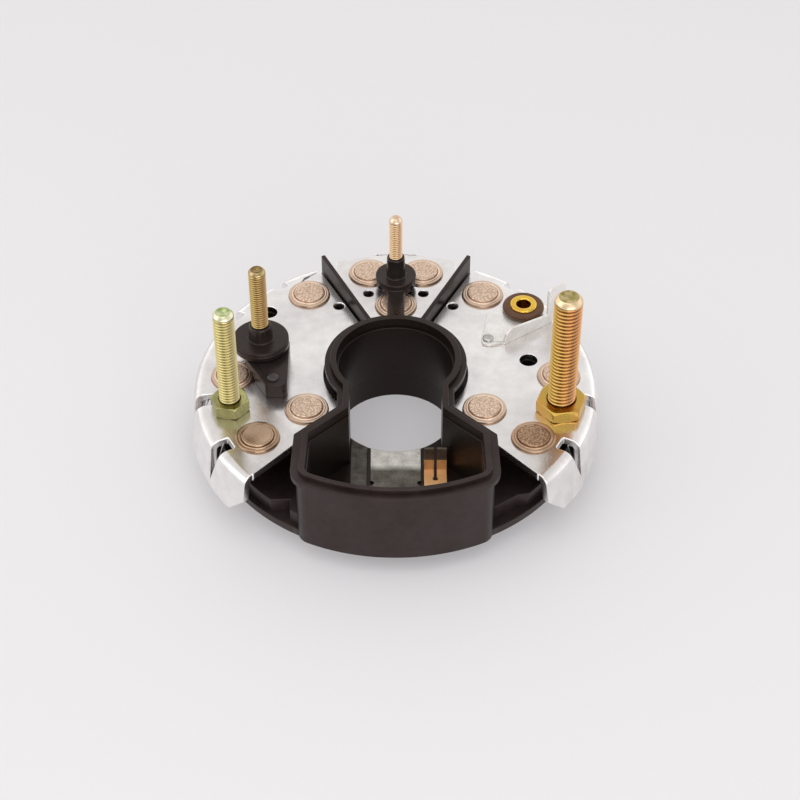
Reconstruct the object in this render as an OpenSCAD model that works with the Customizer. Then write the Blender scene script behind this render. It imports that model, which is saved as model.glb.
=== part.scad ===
// Alternator rectifier: three heat-sink plates with press-fit diodes on one moulded carrier.
// The Z axis runs through the slip-ring bore, and Z = 0 is the lower face of the locating spigot.
// The brush box points along -Y, the positive plate lies on +X and the negative plate on -X.

/* [Carrier] */
// Bore of the slip-ring collar, radius
bore_r = 16.7; // [15.5:0.1:17.2]
// Width of the lead-in step at the top of the bore
lead_in = 0.65; // [0.3:0.05:0.8]
// Depth of the lead-in step below the lip
lead_in_h = 3.2; // [2:0.1:4]
// Bore of the spigot below the collar, radius
spigot_bore_r = 17.4; // [16.8:0.1:18]
// Height of the spigot below the base flange
spigot_h = 6.5; // [4:0.5:9]
// Wall of the collar and of the brush box sides
wall = 2.5; // [2.2:0.1:2.8]
// Wall of the brush box front
front_wall = 3.7; // [3:0.1:4.2]
// Width of the raised lip on the rim
lip_w = 1.85; // [1.4:0.05:2]
// Width of the raised lip at the front
front_lip_w = 1.5; // [1.2:0.1:2]
// Height of the raised lip on the rim
lip_h = 1.4; // [0.6:0.1:2]
// How far the rim stands out over the wall
rim_over = 1.6; // [1.2:0.1:1.8]
// Thickness of the rim
rim_t = 2; // [1.5:0.1:3]
// Height of the rim's shelf above the plates
shelf_rise = 4.6; // [4:0.1:8]
// Clear width of the neck between collar and brush box
neck_w = 26.7; // [25.5:0.1:27.5]
// Distance from the axis to the end of the neck
neck_end = 21.5; // [20.5:0.1:22.5]
// Angle at which the brush box opens out from the neck
flare_angle = 44; // [40:1:47]
// Clear width of the brush box at its front
box_w = 50; // [48:0.1:51]
// How much narrower the brush box is at its flare, on each side
box_taper = 0.5; // [0.2:0.1:1]
// Inside radius of the brush box front
box_r = 53.4; // [52:0.1:54]
// Inside radius of the brush box front corners
box_corner_r = 2.2; // [1:0.1:4]
// Height of the brush box floor above the base
floor_h = 2.6; // [2.5:0.1:3.5]
// Radius of the base flange
base_r = 55.7; // [55:0.1:56.2]
// Thickness of the base flange
base_t = 2.4; // [1.4:0.1:2.4]
// How far the edge of the deck that carries the phase bars stays inside the plates' skirt
deck_inset = 5.8; // [5.5:0.1:6.3]
// How far the deck's centre lies forward of the axis
deck_shift = 1; // [0.6:0.1:1.2]
// Height of the deck above the base
deck_h = 6.8; // [5:0.1:7.2]
// Depth of the pockets under the deck
pocket_h = 4.2; // [2:0.1:4.2]
// Angle between each rib and the Y axis
rib_angle = 26.9; // [26.5:0.1:27.3]
// How far each rib's middle plane lies from the axis
rib_offset = 1.5; // [1.2:0.1:1.8]
// Thickness of the ribs between the plates
rib_t = 1.3; // [1:0.1:1.6]
// Length of the ribs from the axis
rib_r = 52.9; // [50:0.1:53.5]
// Height of the ribs over the plates at their outer end
rib_rise = 5.8; // [5:0.1:8]
// Width of the ledges that carry the plates beside the ribs and the collar
ledge_w = 2; // [1.5:0.1:2.2]
// Depth of the ribs under the plates
rib_depth = 2.5; // [1.5:0.1:3.5]
// Radius of the posts under the screw holes
post_r = 3.8; // [3.5:0.1:3.9]

/* [Plates] */
// Height of the plates' top face above the base
plate_h = 18.4; // [17:0.1:22]
// Thickness of the plates
plate_t = 2.5; // [1.8:0.1:2.6]
// Radius of the side plates over the skirt
plate_r = 59.1; // [58.6:0.1:60]
// How far the side plates' centre lies forward of the axis
plate_shift = 3.7; // [3.4:0.1:4]
// Radius of the exciter plate
exciter_r = 55.6; // [54.5:0.1:57]
// Outer radius of the bend into the skirt
bend_r = 3.2; // [3:0.1:3.8]
// Length of the skirt below the bend
skirt_l = 12; // [9:0.1:12]
// Angle of the side plates' front edges from the Y axis
front_angle = 43; // [42.5:0.1:44]
// Width of the notches between skirt tabs at the bend
notch_w = 4.6; // [3:0.1:5]
// Depth of the notches below the plates
notch_h = 12.5; // [9:0.1:13]
// How far the front notches reach into the plates' flat
notch_reach = 2.6; // [1:0.1:2.8]
// Width of the slits between skirt tabs
slit_w = 0.5; // [0.3:0.1:0.8]
// Height of the front skirt corners' clip, below the plates
clip_h = 8.2; // [7:0.1:10]
// Gap between the plates and the carrier
plate_gap = 0.3; // [0.2:0.1:0.5]

/* [Diodes] */
// Diameter of the diode heads
head_d = 12.6; // [12.3:0.1:12.9]
// Height of the diode heads over the plates
head_h = 0.8; // [0.6:0.1:1.1]
// Diameter of the raised ring on the heads
ring_d = 10.6; // [10:0.1:11]
// Diameter of the disc inside the ring
disc_d = 8.6; // [8:0.1:9]
// Height of the disc over the heads
disc_h = 0.6; // [0.4:0.1:0.9]
// Diameter of the diode cups in the plates
cup_d = 12; // [11:0.1:12.2]
// Depth of the diode cups below the plates
cup_h = 4; // [3:0.1:5]
// Diameter of the diode leads
lead_d = 1.4; // [1:0.1:1.8]
// Sideways place of the back power diodes
back_diode_x = 26.6; // [26.2:0.1:27]
// Depth-wise place of the back power diodes
back_diode_y = 35.5; // [35:0.1:36]
// Sideways place of the side power diodes
side_diode_x = 47.8; // [47.4:0.1:48.2]
// Depth-wise place of the side power diodes
side_diode_y = -1.8; // [-2:0.1:-1.4]
// Sideways place of the front power diodes
front_diode_x = 39.1; // [38.6:0.1:39.6]
// Depth-wise place of the front power diodes
front_diode_y = -28; // [-28.5:0.1:-27.5]
// Sideways place of the inner power diodes
inner_diode_x = 25.6; // [25.2:0.1:26]
// Depth-wise place of the inner power diodes
inner_diode_y = -16.1; // [-16.5:0.1:-15.7]
// Sideways place of the outer exciter diodes
exciter_diode_x = 8.3; // [7.6:0.1:9]
// Depth-wise place of the outer exciter diodes
exciter_diode_y = 46; // [45.5:0.1:46.5]
// Depth-wise place of the middle exciter diode
middle_diode_y = 30.3; // [30:0.1:30.8]

/* [Studs] */
// Thread diameter of the positive stud
positive_d = 8; // [6:1:8]
// Thread pitch of the positive stud
positive_pitch = 1.25; // [1:0.25:1.5]
// Height of the positive stud over the plate
positive_l = 41.5; // [25:0.5:50]
// Width across flats of the positive nut
positive_flats = 13; // [11:0.5:13]
// Thread diameter of the negative stud
negative_d = 6; // [5:1:6]
// Thread pitch of the negative stud
negative_pitch = 1; // [0.75:0.25:1.25]
// Height of the negative stud over the plate
negative_l = 36; // [25:0.5:50]
// Width across flats of the negative nut
negative_flats = 10; // [9:0.5:11]
// Height of the nuts
nut_h = 4; // [3:0.1:6.5]
// Sideways place of the positive and negative studs
stud_x = 47.6; // [47.3:0.1:48]
// Depth-wise place of the positive and negative studs
stud_y = -15.4; // [-15.8:0.1:-15]
// Thread diameter of the tach stud
tach_d = 5; // [4:1:5]
// Thread pitch of the tach stud
tach_pitch = 0.8; // [0.5:0.1:1]
// Height of the tach stud over the plate
tach_l = 33.4; // [20:0.5:40]
// Sideways place of the tach stud, on the negative side
tach_x = 39.6; // [39:0.1:40]
// Depth-wise place of the tach stud
tach_y = 6.4; // [6:0.1:7]
// Thread diameter of the exciter stud
exciter_d = 4; // [3:1:4]
// Thread pitch of the exciter stud
exciter_pitch = 0.7; // [0.5:0.1:0.8]
// Height of the exciter stud over the plate
exciter_l = 27; // [20:0.5:35]
// Depth-wise place of the exciter stud
exciter_y = 39.3; // [39.2:0.1:39.6]
// Height of the studs' heads under the plates
stud_head_h = 3; // [2:0.1:3.5]
// Chamfer on the studs' tips
tip_chamfer = 0.9; // [0.4:0.1:1.2]

/* [Insulators] */
// Diameter of the tach insulator's disc
tach_disc_d = 16.4; // [15:0.1:16.8]
// Height of the tach insulator's disc over the plate
tach_disc_top = 8.2; // [7.8:0.1:10]
// Height of the tach insulator's boss over its disc
tach_boss_h = 5; // [3:0.1:7]
// Thickness of the tach insulator's disc
tach_disc_t = 3; // [2.4:0.1:3.2]
// Diameter of the tach insulator's foot
tach_foot_d = 10; // [9:0.1:10.2]
// Height of the lug on the tach insulator
lug_h = 5; // [3.5:0.1:5]
// Sideways place of the lug's rivet, on the negative side
lug_x = 35.5; // [35:0.1:36]
// Depth-wise place of the lug's rivet
lug_y = -8; // [-8.5:0.1:-7.5]
// Diameter of the exciter sleeve's flange
sleeve_flange_d = 12.4; // [10:0.1:13]
// Gap between the exciter sleeve's flange and the diode heads
sleeve_gap = 0.4; // [0.3:0.1:1]
// Thickness of the exciter sleeve's flange
sleeve_flange_t = 3.4; // [2:0.1:4]
// Diameter of the exciter sleeve
sleeve_d = 6; // [5.6:0.1:7]
// Height of the exciter sleeve over the plate
sleeve_top = 12.2; // [10:0.1:18]
// Width of the exciter sleeve's arm
arm_w = 5.2; // [3:0.1:6]
// Thickness of the exciter sleeve's arm
arm_t = 1.6; // [1:0.1:2]
// Diameter of the frame bush's flange
bush_d = 12.6; // [11:0.1:13]
// Thickness of the frame bush's flange
bush_t = 2; // [1.5:0.1:3]
// Diameter of the frame bush's spigot
bush_spigot_d = 7; // [6.4:0.1:7.2]
// Diameter of the eyelet's flange
eyelet_d = 8.2; // [7:0.1:9]
// Bore of the eyelet, diameter
eyelet_bore_d = 4.3; // [3.4:0.1:4.4]
// Wall of the eyelet
eyelet_wall = 0.6; // [0.4:0.1:0.7]

/* [Holes and terminals] */
// Diameter of the frame screw holes
screw_d = 5.2; // [4:0.1:5.4]
// Sideways place of the back screw holes
screw_x = 38.7; // [38.4:0.1:39]
// Depth-wise place of the back screw holes
screw_y = 27.5; // [27.2:0.1:27.8]
// Sideways place of the positive plate's side hole
side_hole_x = 39.3; // [39.1:0.1:39.6]
// Depth-wise place of the positive plate's side hole
side_hole_y = 5.6; // [5.4:0.1:6]
// Diameter of the small tooling holes in the plates
tool_hole_d = 3.1; // [2.5:0.1:3.6]
// Thickness of the blade terminal's sheet
blade_t = 0.8; // [0.5:0.1:1]
// Width of the blade terminal's tab
tab_w = 6.4; // [4.8:0.1:6.4]
// Height of the blade terminal's tab
tab_h = 13.6; // [10:0.1:15]
// Height of the blade terminal's low flange
flange_h = 5.1; // [4:0.1:6]
// Diameter of the rivets' heads
rivet_head_d = 3.4; // [3:0.1:4]
// Diameter of the rivets' shanks
rivet_d = 2.2; // [1.6:0.1:2.4]
// Height of the rivets' heads
rivet_head_h = 0.8; // [0.5:0.1:1.2]
// Thickness of the phase bars
bar_t = 1.2; // [0.8:0.1:1.6]
// Width of the phase bars
bar_w = 2.8; // [2.2:0.1:3]
// Thickness of the contacts in the brush box
contact_t = 0.8; // [0.5:0.1:1.2]
// Gap round pieces that pass through another
clearance = 0.1; // [0.05:0.05:0.2]

/* [Hidden] */
$fn = 64;

// Overlap that makes cuts pass clean through
eps = 0.05;
// Reach of cutters past the whole part
far = 90;

// Levels above the spigot's lower face
base_z = spigot_h;
floor_z = base_z + floor_h;
deck_z = base_z + deck_h;
bar_z = deck_z + bar_t;
plate_z = base_z + plate_h;
under_z = plate_z - plate_t;
shelf_z = plate_z + shelf_rise;
lip_z = shelf_z + lip_h;

// Radius of the deck, half widths of the opening, and the gap round the collar that the plates keep
deck_r = plate_r - deck_inset;
neck_half = neck_w / 2;
box_half = box_w / 2;
ring_gap = rim_over + 0.2;
ledge_r = bore_r + wall + ring_gap + ledge_w;

// Outlines of the collar, neck and brush box: collar radius, neck half width, box half width, front
// radius and growth of the flare
step_in = 0.4;
inner_outline = [bore_r, neck_half, box_half - step_in, box_r - step_in, -step_in];
mouth_outline = [bore_r + lead_in, neck_half, box_half, box_r, 0];
lip_outline = mouth_outline + [lip_w, lip_w, lip_w, front_lip_w, lip_w];
wall_outline = [bore_r + wall, neck_half + wall, box_half + wall, box_r + front_wall, wall];
rim_outline = wall_outline + [rim_over, rim_over - lead_in, rim_over, 0, rim_over - step_in];
plate_outline = wall_outline + [ring_gap, plate_gap, plate_gap, plate_gap, plate_gap];

// Places of the pieces, on the positive side
power_at = [
    [back_diode_x, back_diode_y],
    [side_diode_x, side_diode_y],
    [front_diode_x, front_diode_y],
    [inner_diode_x, inner_diode_y]
];
exciter_at = [
    [-exciter_diode_x, exciter_diode_y],
    [exciter_diode_x, exciter_diode_y],
    [0, middle_diode_y]
];
stud_at = [stud_x, stud_y];
screw_at = [screw_x, screw_y];
side_hole_at = [side_hole_x, side_hole_y];
tach_at = [-tach_x, tach_y];
lug_at = [-lug_x, lug_y];
blade_rivet_at = [27.6, 14.2];
side_tool_hole_at = [17.3, 30.3];
exciter_tool_hole_x = 8.4;
exciter_tool_hole_y = 36.3;

// Polar form of a place
function radius_of(p) = norm(p);
function angle_of(p) = atan2(p[1], p[0]);
// Place of a piece mirrored to the negative side
function flip(p) = [-p[0], p[1]];
// Point on a circle
function on_circle(c, r, a) = [c[0] + r * cos(a), c[1] + r * sin(a)];

// Right half of the brush box outline, from the neck to the middle of the front
function fan_half(outline) =
    let (
        neck = outline[1],
        half = outline[2],
        front = outline[3],
        grow = outline[4],
        flare_half = half - box_taper,
        corner = box_corner_r + half - box_half,
        corner_x = half - corner,
        corner_y = -sqrt(pow(front - corner, 2) - pow(corner_x, 2)),
        turn = atan2(corner_y, corner_x),
        steps = 6,
        front_steps = 14
    )
    concat(
        [
            [neck, 0],
            [neck, flare_y(neck, grow)],
            [flare_half, flare_y(flare_half, grow)]
        ],
        [for (i = [0 : steps]) on_circle([corner_x, corner_y], corner, turn * i / steps)],
        [for (i = [1 : front_steps]) on_circle([0, 0], front, turn + (-90 - turn) * i / front_steps)]
    );

// Depth-wise place on the flare at sideways place x, for a flare grown outward by g
function flare_y(x, g) =
    g * cos(flare_angle) - neck_end - (x - neck_half - g * sin(flare_angle)) * tan(flare_angle);

// Outline of the collar, neck and brush box
module keyhole(outline) {
    half = fan_half(outline);
    circle(r = outline[0]);
    polygon(concat(half, [for (i = [len(half) - 2 : -1 : 0]) flip(half[i])]));
}

// Wedge between two angles, out to past the part
module wedge(from, to) {
    middle = (from + to) / 2;
    polygon([
        [0, 0],
        on_circle([0, 0], far, from),
        on_circle([0, 0], far, middle),
        on_circle([0, 0], far, to)
    ]);
}

// Half plane on the inner side of a rib, from a distance off the rib's middle plane; side is -1 or 1
module inside_rib(side, from) {
    scale_side(side)
        rotate(90 - rib_angle)
            translate([-far, rib_offset + from])
                square([2 * far, far]);
}

// Rib between two plates, with its ledges under them and a post down to the deck
module rib(side) {
    root = bore_r + wall / 2;
    low = under_z - rib_depth;
    post_from = 43.2;
    post_l = 4;
    profile = [
        [root, low],
        [rib_r, low],
        [rib_r, plate_z + rib_rise],
        [root, shelf_z - 0.2]
    ];
    scale_side(side)
        rotate([0, 0, 90 - rib_angle])
            translate([0, rib_offset, 0]) {
                rotate([90, 0, 0])
                    translate([0, 0, -rib_t / 2])
                        linear_extrude(rib_t)
                            polygon(profile);
                translate([root, -rib_t / 2 - ledge_w, low])
                    cube([rib_r - root - ledge_w, rib_t + 2 * ledge_w, rib_depth]);
                translate([post_from, -rib_t / 2 - ledge_w / 2, base_z])
                    cube([post_l, rib_t + ledge_w, low - base_z + eps]);
            }
}

// Hollows under the deck between the spigot and its outer edge
module deck_pockets() {
    inner = bore_r + wall + ledge_w;
    middle = (inner + deck_r) / 2;
    outer = deck_r - 2 * ledge_w - deck_shift;
    span = 25;
    for (a = [-20 : 30 : 200])
        rotate([0, 0, a - span / 2])
            for (reach = [[inner + ledge_w, middle - ledge_w], [middle + ledge_w, outer]])
                rotate_extrude(angle = span)
                    translate([reach[0], base_z - 1])
                        square([reach[1] - reach[0], pocket_h + 1]);
}

// Places where the stator leads come up through the deck to the bars
stator_r = bar_w / 2 - 0.2;
stator_at = [
    on_circle([0, 0], radius_of(power_at[3]), 155),
    on_circle([0, 0], radius_of(exciter_at[1]) + 3.3, 90),
    on_circle([0, 0], radius_of(exciter_at[1]) - 6.2, 115),
    on_circle([0, 0], radius_of(power_at[3]) + 3.9, 65)
];

module carrier() {
    color([0.10, 0.085, 0.08])
        difference() {
            union() {
                cylinder(r = spigot_bore_r + wall, h = base_z + base_t);
                translate([0, 0, base_z])
                    cylinder(r = base_r, h = base_t, $fn = 128);
                translate([0, -deck_shift, base_z])
                    cylinder(r = deck_r, h = deck_h, $fn = 128);
                translate([0, 0, base_z])
                    cylinder(r = ledge_r, h = under_z - base_z);
                translate([0, 0, base_z])
                    linear_extrude(shelf_z - base_z)
                        keyhole(wall_outline);
                translate([0, 0, shelf_z - rim_t])
                    linear_extrude(rim_t)
                        keyhole(rim_outline);
                translate([0, 0, shelf_z - rim_t])
                    linear_extrude(rim_t + lip_h)
                        keyhole(lip_outline);
                for (side = [-1, 1])
                    rib(side);
                for (p = [screw_at, flip(screw_at), side_hole_at])
                    translate([p[0], p[1], base_z])
                        cylinder(r = post_r, h = under_z - base_z);
            }
            translate([0, 0, floor_z])
                linear_extrude(far)
                    keyhole(inner_outline);
            translate([0, 0, lip_z - lead_in_h])
                linear_extrude(far)
                    keyhole(mouth_outline);
            translate([0, 0, -1])
                cylinder(r = spigot_bore_r, h = floor_z + 1 + eps);
            for (p = [flip(screw_at), side_hole_at])
                translate([p[0], p[1], -1])
                    cylinder(d = screw_d, h = far);
            translate([screw_x, screw_y, -1])
                cylinder(d = eyelet_bore_d + 2 * eyelet_wall + 2 * clearance, h = far);
            deck_recesses();
            difference() {
                deck_pockets();
                for (p = concat([screw_at, flip(screw_at), side_hole_at], stator_at))
                    translate([p[0], p[1], 0])
                        cylinder(r = post_r, h = far);
            }
            for (p = stator_at)
                translate([p[0], p[1], -1])
                    cylinder(r = stator_r + clearance, h = deck_z + 1 + eps);
        }
}

// Recesses in the deck's front edge on both sides of the brush box
recess_from = 29.8;
recess_to = 35.1;
recess_back = 41;
recess_stop = 37.7;
module deck_recesses() {
    height = deck_h - base_t + 1;
    translate([-recess_to, -far, base_z + base_t])
        cube([recess_to - recess_from, far - recess_back, height]);
    translate([0, 0, base_z + base_t])
        linear_extrude(height)
            polygon([
                [box_half + wall, -far],
                [box_half + wall, -44.3],
                [recess_from, -42.7],
                [34.5, -39.2],
                [recess_stop, -38.6],
                [recess_stop, -far]
            ]);
}

// Mirrors to the negative side
module scale_side(side) {
    if (side > 0)
        children();
    else
        mirror([1, 0, 0])
            children();
}

// Section through the bend and the skirt at a given outward lean
module skirt_section(lean, length = skirt_l) {
    c = [plate_r - bend_r, plate_z - bend_r];
    inner = bend_r - plate_t;
    steps = 6;
    along = [sin(lean), -cos(lean)] * length;
    outer_arc = [for (i = [0 : steps]) on_circle(c, bend_r, 90 + (lean - 90) * i / steps)];
    inner_arc = [for (i = [steps : -1 : 0]) on_circle(c, inner, 90 + (lean - 90) * i / steps)];
    polygon(concat(
        [[c[0] - 1, plate_z]],
        outer_arc,
        [outer_arc[steps] + along, inner_arc[0] + along],
        inner_arc,
        [[c[0] - 1, under_z]]
    ));
}

// One skirt tab between two angles about the side plates' centre
module skirt_tab(from, to, lean) {
    rotate([0, 0, from])
        rotate_extrude(angle = to - from, $fn = 128)
            skirt_section(lean);
}

// Slot of a notch in the flat's outline
module notch_slot(angle, reach) {
    rotate(angle)
        translate([plate_r - bend_r - reach, -notch_front])
            square([reach + 1, notch_w]);
}

// V-shaped relief between two skirt tabs, cut mostly from the front one
module notch(angle) {
    back = notch_w - notch_front;
    rotate([0, 0, angle])
        translate([plate_r - 2 * bend_r, 0, plate_z])
            rotate([90, 0, 90])
                linear_extrude(far)
                    polygon([
                        [-notch_front, 1],
                        [back, 1],
                        [back, -bend_r / 2],
                        [slit_w / 2, -notch_h],
                        [-slit_w / 2, -notch_h],
                        [-notch_front, -bend_r / 2]
                    ]);
}

// Angle of the side plates' front edge where it meets the skirt, about the side plates' centre
front_tab_angle =
    let (
        a = 90 - front_angle,
        reach = plate_shift * sin(a) + sqrt(pow(plate_r, 2) - pow(plate_shift * cos(a), 2))
    )
    atan2(plate_shift - reach * sin(a), reach * cos(a));
// Angles of the skirt tabs on the positive side, from the front edge to the rib
tab_ends = [front_tab_angle, -27.8, -7.1, 32.8, 52.1, 64.8];
tab_gap = 0.25;
// Part of the notches' width in front of the slit
notch_front = notch_w * 0.8;

// Slanted clip of the front tab's lower corner
module front_clip() {
    run = 7;
    rotate([0, 0, front_tab_angle])
        translate([plate_r - bend_r, 0, plate_z])
            rotate([90, 0, 90])
                linear_extrude(far)
                    polygon([
                        [-run, -clip_h],
                        [0, -clip_h],
                        [run, -bend_r - skirt_l],
                        [run, -far],
                        [-run, -far]
                    ]);
}

// Side plate's flat outline without holes, on the positive side
module side_outline(reach) {
    difference() {
        intersection() {
            translate([0, -plate_shift])
                circle(r = reach, $fn = 128);
            wedge(-90 + front_angle, 98 - rib_angle);
        }
        keyhole(plate_outline);
        inside_rib(1, -rib_t / 2 - plate_gap);
    }
}

// Side plate with its skirt on the positive side, with one lean per tab
module side_sheet(leans) {
    difference() {
        union() {
            translate([0, 0, under_z])
                linear_extrude(plate_t)
                    difference() {
                        side_outline(plate_r - bend_r - 0.4);
                        translate([0, -plate_shift])
                            for (i = [1 : len(leans) - 1])
                                notch_slot(tab_ends[i], i < 3 ? notch_reach : notch_reach / 3);
                    }
            translate([0, -plate_shift, 0])
                difference() {
                    for (i = [0 : len(leans) - 1])
                        skirt_tab(tab_ends[i] + tab_gap, tab_ends[i + 1] - tab_gap, leans[i]);
                    for (i = [1 : len(leans) - 1])
                        notch(tab_ends[i]);
                    front_clip();
                }
        }
        for (p = power_at)
            cup_hole(p);
        through(side_tool_hole_at, tool_hole_d / 2);
    }
}

// Hole for a diode's cup, clear of it down to its lower end
module cup_hole(p) {
    translate([p[0], p[1], under_z - cup_h - clearance])
        cylinder(d = cup_d + 2 * clearance, h = cup_h + plate_t + 1);
}

// Hole through a plate
module through(p, r) {
    translate([p[0], p[1], under_z - 1])
        cylinder(r = r, h = plate_t + 2);
}

module positive_plate() {
    color([0.80, 0.80, 0.82])
        difference() {
            side_sheet([11, 7, 4, 2, 2]);
            through(stud_at, positive_d / 2 + clearance);
            through(screw_at, bush_spigot_d / 2 + clearance);
            through(side_hole_at, screw_d / 2);
            through(blade_rivet_at, rivet_d / 2 + clearance);
        }
}

module negative_plate() {
    color([0.80, 0.80, 0.82])
        difference() {
            mirror([1, 0, 0])
                side_sheet([8, 7, 4, 2, 2]);
            through(flip(stud_at), negative_d / 2 + clearance);
            through(flip(screw_at), screw_d / 2);
            through(tach_at, tach_spigot_r + clearance);
            through(lug_at, rivet_d / 2 + clearance);
        }
}

// Width of the exciter plate's bent-down tab, which ends above the bars, and the half width of the plate at
// its back corners
exciter_tab_w = 12;
bar_gap = 1;
exciter_tab_l = plate_z - bend_r - bar_z - bar_gap;
exciter_half = 18.8;

module exciter_plate() {
    color([0.80, 0.80, 0.82])
        difference() {
            union() {
                translate([0, 0, under_z])
                    linear_extrude(plate_t)
                        difference() {
                            intersection() {
                                circle(r = exciter_r, $fn = 128);
                                translate([-exciter_half, 0])
                                    square([2 * exciter_half, far]);
                                inside_rib(1, rib_t / 2 + plate_gap);
                                inside_rib(-1, rib_t / 2 + plate_gap);
                            }
                            circle(r = plate_outline[0]);
                        }
                translate([-exciter_tab_w / 2, 0, 0])
                    rotate([90, 0, 90])
                        linear_extrude(exciter_tab_w)
                            translate([exciter_r - plate_r + bend_r - 1, 0])
                                skirt_section(0, exciter_tab_l);
            }
            for (p = exciter_at)
                cup_hole(p);
            for (side = [-1, 1])
                through([side * exciter_tool_hole_x, exciter_tool_hole_y], tool_hole_d / 2);
            through([0, exciter_y], exciter_d / 2 + clearance);
        }
}

// Press-fit diode: stepped head on the plate, cup through it, potted neck and lead down to the bar
module diode(p) {
    neck_top = under_z - cup_h;
    neck_r = cup_d / 4;
    groove = 0.2;
    edge = 0.3;
    ring_r = ring_d / 2;
    disc_r = disc_d / 2;
    middle_r = (ring_r + disc_r) / 2;
    top = plate_z + head_h;
    disc_top = top + disc_h;
    color([0.72, 0.56, 0.45])
        translate([p[0], p[1], 0])
            rotate_extrude($fn = 96)
                polygon([
                    [0, bar_z],
                    [lead_d / 2, bar_z],
                    [lead_d / 2, neck_top - neck_r / 2],
                    [neck_r, neck_top],
                    [cup_d / 2, neck_top],
                    [cup_d / 2, plate_z],
                    [head_d / 2, plate_z],
                    [head_d / 2, top - edge],
                    [head_d / 2 - edge, top],
                    [ring_r + groove, top],
                    [ring_r, top - groove],
                    [ring_r - groove / 2, top + disc_h / 3],
                    [middle_r + edge / 2, top + disc_h / 2],
                    [middle_r - edge / 2, top + disc_h / 2],
                    [disc_r + groove / 2, top + disc_h / 3],
                    [disc_r, top],
                    [disc_r - groove / 2, disc_top - edge],
                    [disc_r - edge, disc_top],
                    [0, disc_top]
                ]);
}

// Radius of a rolled stud's shank below its thread, which is the thread's pitch radius
function shank_r(d, pitch) = d / 2 - 0.325 * pitch;

// Outline of a thread as rings, from its lowest crest to its highest
function thread_rings(d, pitch, from, to) =
    let (
        crest = pitch / 6,
        flank = 0.31 * pitch,
        root_r = d / 2 - 0.613 * pitch,
        turns = floor((to - from - crest) / pitch),
        step = (to - from - crest) / turns
    )
    concat(
        [
            for (i = [0 : turns - 1], z = [from + i * step], q = [
                [d / 2, z],
                [d / 2, z + crest],
                [root_r, z + crest + flank],
                [root_r, z + step - flank]
            ]) q
        ],
        [[d / 2, to - crest], [d / 2, to]]
    );

// Outline of a fine thread, plain at its thread diameter
function plain_thread(d, from, to) = [[d / 2, from], [d / 2, to]];

// Rolled stud with a head and a reduced shank below the outline of its thread
module stud(p, head_r, head, shank, thread, top, tint) {
    start = thread[0];
    end = thread[len(thread) - 1];
    color(tint)
        translate([p[0], p[1], 0])
            rotate_extrude()
                polygon(concat(
                    [
                        [0, head[0]],
                        [head_r, head[0]],
                        [head_r, head[1]],
                        [shank, head[1]],
                        [shank, start[1]]
                    ],
                    thread,
                    [[end[0] - tip_chamfer, top], [0, top]]
                ));
}

// Hexagon nut on the plate, with corners chamfered at both ends and a countersunk thread mouth
module nut(p, d, pitch, flats, turn, tint) {
    corner_r = flats / 2 / cos(30);
    face_r = 0.97 * flats / 2;
    chamfer = (corner_r - face_r) * tan(30);
    bore = shank_r(d, pitch) + clearance;
    sink = d / 2 + pitch / 4 - bore;
    color(tint)
        translate([p[0], p[1], plate_z])
            difference() {
                intersection() {
                    rotate([0, 0, turn])
                        cylinder(r = corner_r, h = nut_h, $fn = 6);
                    rotate_extrude()
                        polygon([
                            [0, 0],
                            [face_r, 0],
                            [corner_r + eps, chamfer + eps * tan(30)],
                            [corner_r + eps, nut_h - chamfer - eps * tan(30)],
                            [face_r, nut_h],
                            [0, nut_h]
                        ]);
                }
                translate([0, 0, -1])
                    cylinder(r = bore, h = nut_h + 2);
                translate([0, 0, nut_h - sink])
                    cylinder(r1 = bore, r2 = bore + sink + eps, h = sink + eps);
            }
}

// Heights of the studs' heads under the plates, and of the nuts' tops
stud_head = [under_z - stud_head_h, under_z];
nut_top = plate_z + nut_h;

zinc_yellow = [0.78, 0.62, 0.30];
zinc_green = [0.72, 0.70, 0.42];
stud_head_wall = 1.5;

module positive_stud() {
    top = plate_z + positive_l;
    thread = thread_rings(positive_d, positive_pitch, nut_top, top - tip_chamfer);
    shank = shank_r(positive_d, positive_pitch);
    stud(stud_at, positive_d / 2 + stud_head_wall, stud_head, shank, thread, top, zinc_yellow);
}

module positive_nut() {
    nut(stud_at, positive_d, positive_pitch, positive_flats, 9, zinc_yellow);
}

module negative_stud() {
    top = plate_z + negative_l;
    thread = thread_rings(negative_d, negative_pitch, nut_top, top - tip_chamfer);
    shank = shank_r(negative_d, negative_pitch);
    stud(flip(stud_at), negative_d / 2 + stud_head_wall, stud_head, shank, thread, top, zinc_green);
}

module negative_nut() {
    nut(flip(stud_at), negative_d, negative_pitch, negative_flats, 50, zinc_green);
}

module exciter_stud() {
    top = plate_z + exciter_l;
    thread = plain_thread(exciter_d, plate_z + sleeve_top, top - tip_chamfer);
    shank = shank_r(exciter_d, exciter_pitch);
    stud([0, exciter_y], exciter_d / 2 + 0.8, stud_head, shank, thread, top, [0.80, 0.64, 0.42]);
}

// Tach stud: its foot stands on a phase bar, and the insulator holds it clear of the plate
tach_spigot_wall = 1.1;
tach_spigot_r = tach_d / 2 + clearance + tach_spigot_wall;
tach_foot_r = 4;
tach_foot_h = 1.5;
tach_boss_top = plate_z + tach_disc_top + tach_boss_h;

module tach_stud() {
    top = plate_z + tach_l;
    thread = plain_thread(tach_d, tach_boss_top, top - tip_chamfer);
    shank = shank_r(tach_d, tach_pitch);
    foot = [bar_z, bar_z + tach_foot_h];
    stud(tach_at, tach_foot_r, foot, shank, thread, top, [0.80, 0.68, 0.40]);
}

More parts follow.
